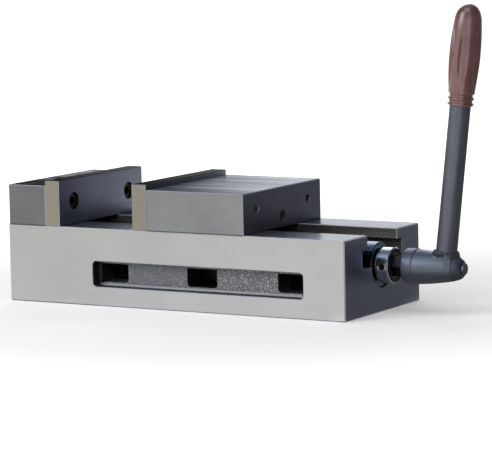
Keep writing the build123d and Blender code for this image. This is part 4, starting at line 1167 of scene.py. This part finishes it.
class VISE_OT_stage(bpy.types.Operator):
    """Set the floor, the lamps, the world and the camera"""

    bl_idname = "vise.stage"
    bl_label = "Stage"

    def side(self, shader, direction, part):
        """Strength of one side of the studio: 1, or its own where the cosine of the angle from its middle is
        past full."""
        azimuth, start, full, strength = part
        middle = (math.cos(azimuth), math.sin(azimuth), 0)
        level = shader.vector("NORMALIZE", shader.vector("MULTIPLY", direction, (1, 1, 0)))
        cosine = shader.vector("DOT_PRODUCT", level, middle, output="Value")
        return shader.blend(shader.step(cosine, start, full), 1.0, strength)

    def sides(self, shader, direction, *parts):
        """Product of the strengths of sides of the studio."""
        return shader.both(*(self.side(shader, direction, part) for part in parts))

    def floor(self):
        """A wide pale floor just under the body. Reflections see only its glow, which is dimmer near the vise
        and on the dark side."""
        half = 6.0
        glow_reach, shine_reach = (0.3, 1.0), (0.5, 1.6)
        corners = np.array([[-half, -half], [half, -half], [half, half], [-half, half]])
        points = np.column_stack([corners, np.full(4, BODY_LOW.z - 0.2 * MM)])
        mesh = bpy.data.meshes.new("floor")
        mesh.from_pydata(points.tolist(), [], [(0, 1, 2, 3)])
        floor = bpy.data.objects.new("floor", mesh)
        bpy.context.scene.collection.objects.link(floor)
        studio = settings().studio
        material, shader, surface, _ = new_material("pale_floor")
        place = shader.add("ShaderNodeTexCoord").outputs["Object"]
        surface.inputs["Roughness"].default_value = 0.9
        surface.inputs["Specular IOR Level"].default_value = 0.0
        rays = shader.add("ShaderNodeLightPath").outputs
        mirrored = shader.mirrored(rays)
        connect(shader, surface, Base_Color=shader.mix(mirrored, settings().colours.floor, (0, 0, 0)))
        away = shader.vector("LENGTH", place, output="Value")
        glow = shader.blend(shader.step(away, *glow_reach), studio.floor_glow, 1.0)
        glow = shader.both(rays["Is Camera Ray"], glow)
        shine = shader.blend(shader.step(away, *shine_reach), studio.floor_shine, studio.shine)
        beyond = shader.vector("SUBTRACT", place, studio.floor_dark_place)
        shine = shader.both(shine, self.sides(shader, beyond, studio.dark_side, studio.front_side), mirrored)
        surface.inputs["Emission Color"].default_value = (1, 1, 1, 1)
        connect(shader, surface, Emission_Strength=shader.math("ADD", glow, shine))
        mesh.materials.append(material)

    def lamp(self, name, place, size, power):
        """A square soft lamp that looks at the middle of the vise."""
        middle = Vector((0, 0, 80 * MM))
        light = bpy.data.lights.new(name, "AREA")
        light.shape = "SQUARE"
        light.size = size
        light.energy = power
        lamp = bpy.data.objects.new(name, light)
        lamp.location = place
        lamp.rotation_euler = (middle - Vector(place)).to_track_quat("-Z", "Y").to_euler()
        bpy.context.scene.collection.objects.link(lamp)

    def world(self):
        """White to the camera. In reflections, a bright horizon under a bluer sky, with a dark, a dim and a
        brighter side. As light, low, with the dark side."""
        studio = settings().studio
        world = bpy.data.worlds.new("studio")
        bpy.context.scene.world = world
        world.use_nodes = True
        shader = Shader(world.node_tree)
        background = world.node_tree.nodes["Background"]
        rays = shader.add("ShaderNodeLightPath").outputs
        mirrored = shader.mirrored(rays)
        direction = shader.add("ShaderNodeTexCoord").outputs["Generated"]
        upward = shader.add("ShaderNodeSeparateXYZ", {0: direction}).outputs[2]
        sky_start, sky_full = 0.10, 0.55
        upper = shader.step(upward, sky_start, sky_full)
        high = shader.both(upper, mirrored)
        shine = shader.both(shader.blend(upper, 1.0, studio.sky_shine), studio.shine)
        parts = studio.dark_side, studio.dim_side, studio.front_side
        shine = shader.both(shine, self.sides(shader, direction, *parts))
        dark_light = (*studio.dark_side[:3], studio.dark_sky)
        light = shader.both(self.side(shader, direction, dark_light), studio.sky)
        strength = shader.blend(mirrored, light, shine)
        strength = shader.blend(rays["Is Camera Ray"], strength, 1.0)
        world.node_tree.links.new(shader.mix(high, (1, 1, 1), studio.sky_tint), background.inputs["Color"])
        world.node_tree.links.new(strength, background.inputs["Strength"])

    def camera(self):
        """The photograph's camera, turned by its azimuth, elevation and roll."""
        studio = settings().studio
        azimuth, elevation, roll = studio.azimuth, studio.elevation, studio.roll
        forward = Vector((
            -math.sin(azimuth) * math.cos(elevation),
            math.cos(azimuth) * math.cos(elevation),
            -math.sin(elevation),
        ))
        level = forward.cross(Vector((0, 0, 1))).normalized()
        upright = level.cross(forward)
        right = level * math.cos(roll) + upright * math.sin(roll)
        up = upright * math.cos(roll) - level * math.sin(roll)
        turn = Matrix((right, up, -forward)).transposed()
        data = bpy.data.cameras.new("camera")
        data.lens = studio.lens
        data.sensor_width = 36.0
        data.clip_start, data.clip_end = 0.05, 50.0
        camera = bpy.data.objects.new("camera", data)
        camera.matrix_world = Matrix.Translation(studio.camera_place) @ turn.to_4x4()
        bpy.context.scene.collection.objects.link(camera)
        bpy.context.scene.camera = camera

    def execute(self, context):
        studio = settings().studio
        self.floor()
        self.lamp("key", (-1.3, -2.2, 1.5), 1.8, studio.key_power)
        self.lamp("fill", (0.2, -1.0, 2.4), 1.6, studio.fill_power)
        self.lamp("back", (-1.4, 2.0, 1.6), 1.6, studio.back_power)
        self.world()
        self.camera()
        context.scene.view_settings.view_transform = "Standard"
        return {"FINISHED"}


OPERATORS = (
    VISE_OT_body, VISE_OT_jaws, VISE_OT_plates, VISE_OT_fasteners, VISE_OT_pull_down, VISE_OT_bearing,
    VISE_OT_lead_screw, VISE_OT_hub, VISE_OT_rod, VISE_OT_grip, VISE_OT_stage,
)


class ViseSettings(bpy.types.PropertyGroup):
    """All settings of the vise."""

    screw: PointerProperty(type=ScrewSizes)
    crank: PointerProperty(type=CrankSizes)
    grip: PointerProperty(type=GripSizes)
    colours: PointerProperty(type=Colours)
    studio: PointerProperty(type=Studio)


class VISE_PT_panel(bpy.types.Panel):
    """Buttons and settings of the vise"""

    bl_label = "Milling vise"
    bl_idname = "VISE_PT_panel"
    bl_space_type = "VIEW_3D"
    bl_region_type = "UI"
    bl_category = "Vise"

    def draw(self, context):
        for operator in OPERATORS:
            self.layout.operator(operator.bl_idname)
        vise = settings()
        for group in (vise.screw, vise.crank, vise.grip, vise.colours, vise.studio):
            box = self.layout.box()
            for key in group.__annotations__:
                box.prop(group, key)


CLASSES = (ScrewSizes, CrankSizes, GripSizes, Colours, Studio, ViseSettings, VISE_PT_panel, *OPERATORS)


def register():
    """Register the classes and the scene's settings."""
    for made in CLASSES:
        bpy.utils.register_class(made)
    bpy.types.Scene.vise = PointerProperty(type=ViseSettings)


def unregister():
    """Remove the scene's settings and the classes."""
    del bpy.types.Scene.vise
    for made in reversed(CLASSES):
        bpy.utils.unregister_class(made)


def main():
    """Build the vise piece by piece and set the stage."""
    register()
    bpy.ops.vise.body()
    bpy.ops.vise.jaws()
    bpy.ops.vise.plates()
    bpy.ops.vise.fasteners()
    bpy.ops.vise.pull_down()
    bpy.ops.vise.bearing()
    bpy.ops.vise.lead_screw()
    bpy.ops.vise.hub()
    bpy.ops.vise.rod()
    bpy.ops.vise.grip()
    bpy.ops.vise.stage()
    bpy.context.view_layer.update()


if __name__ == "__main__":
    main()
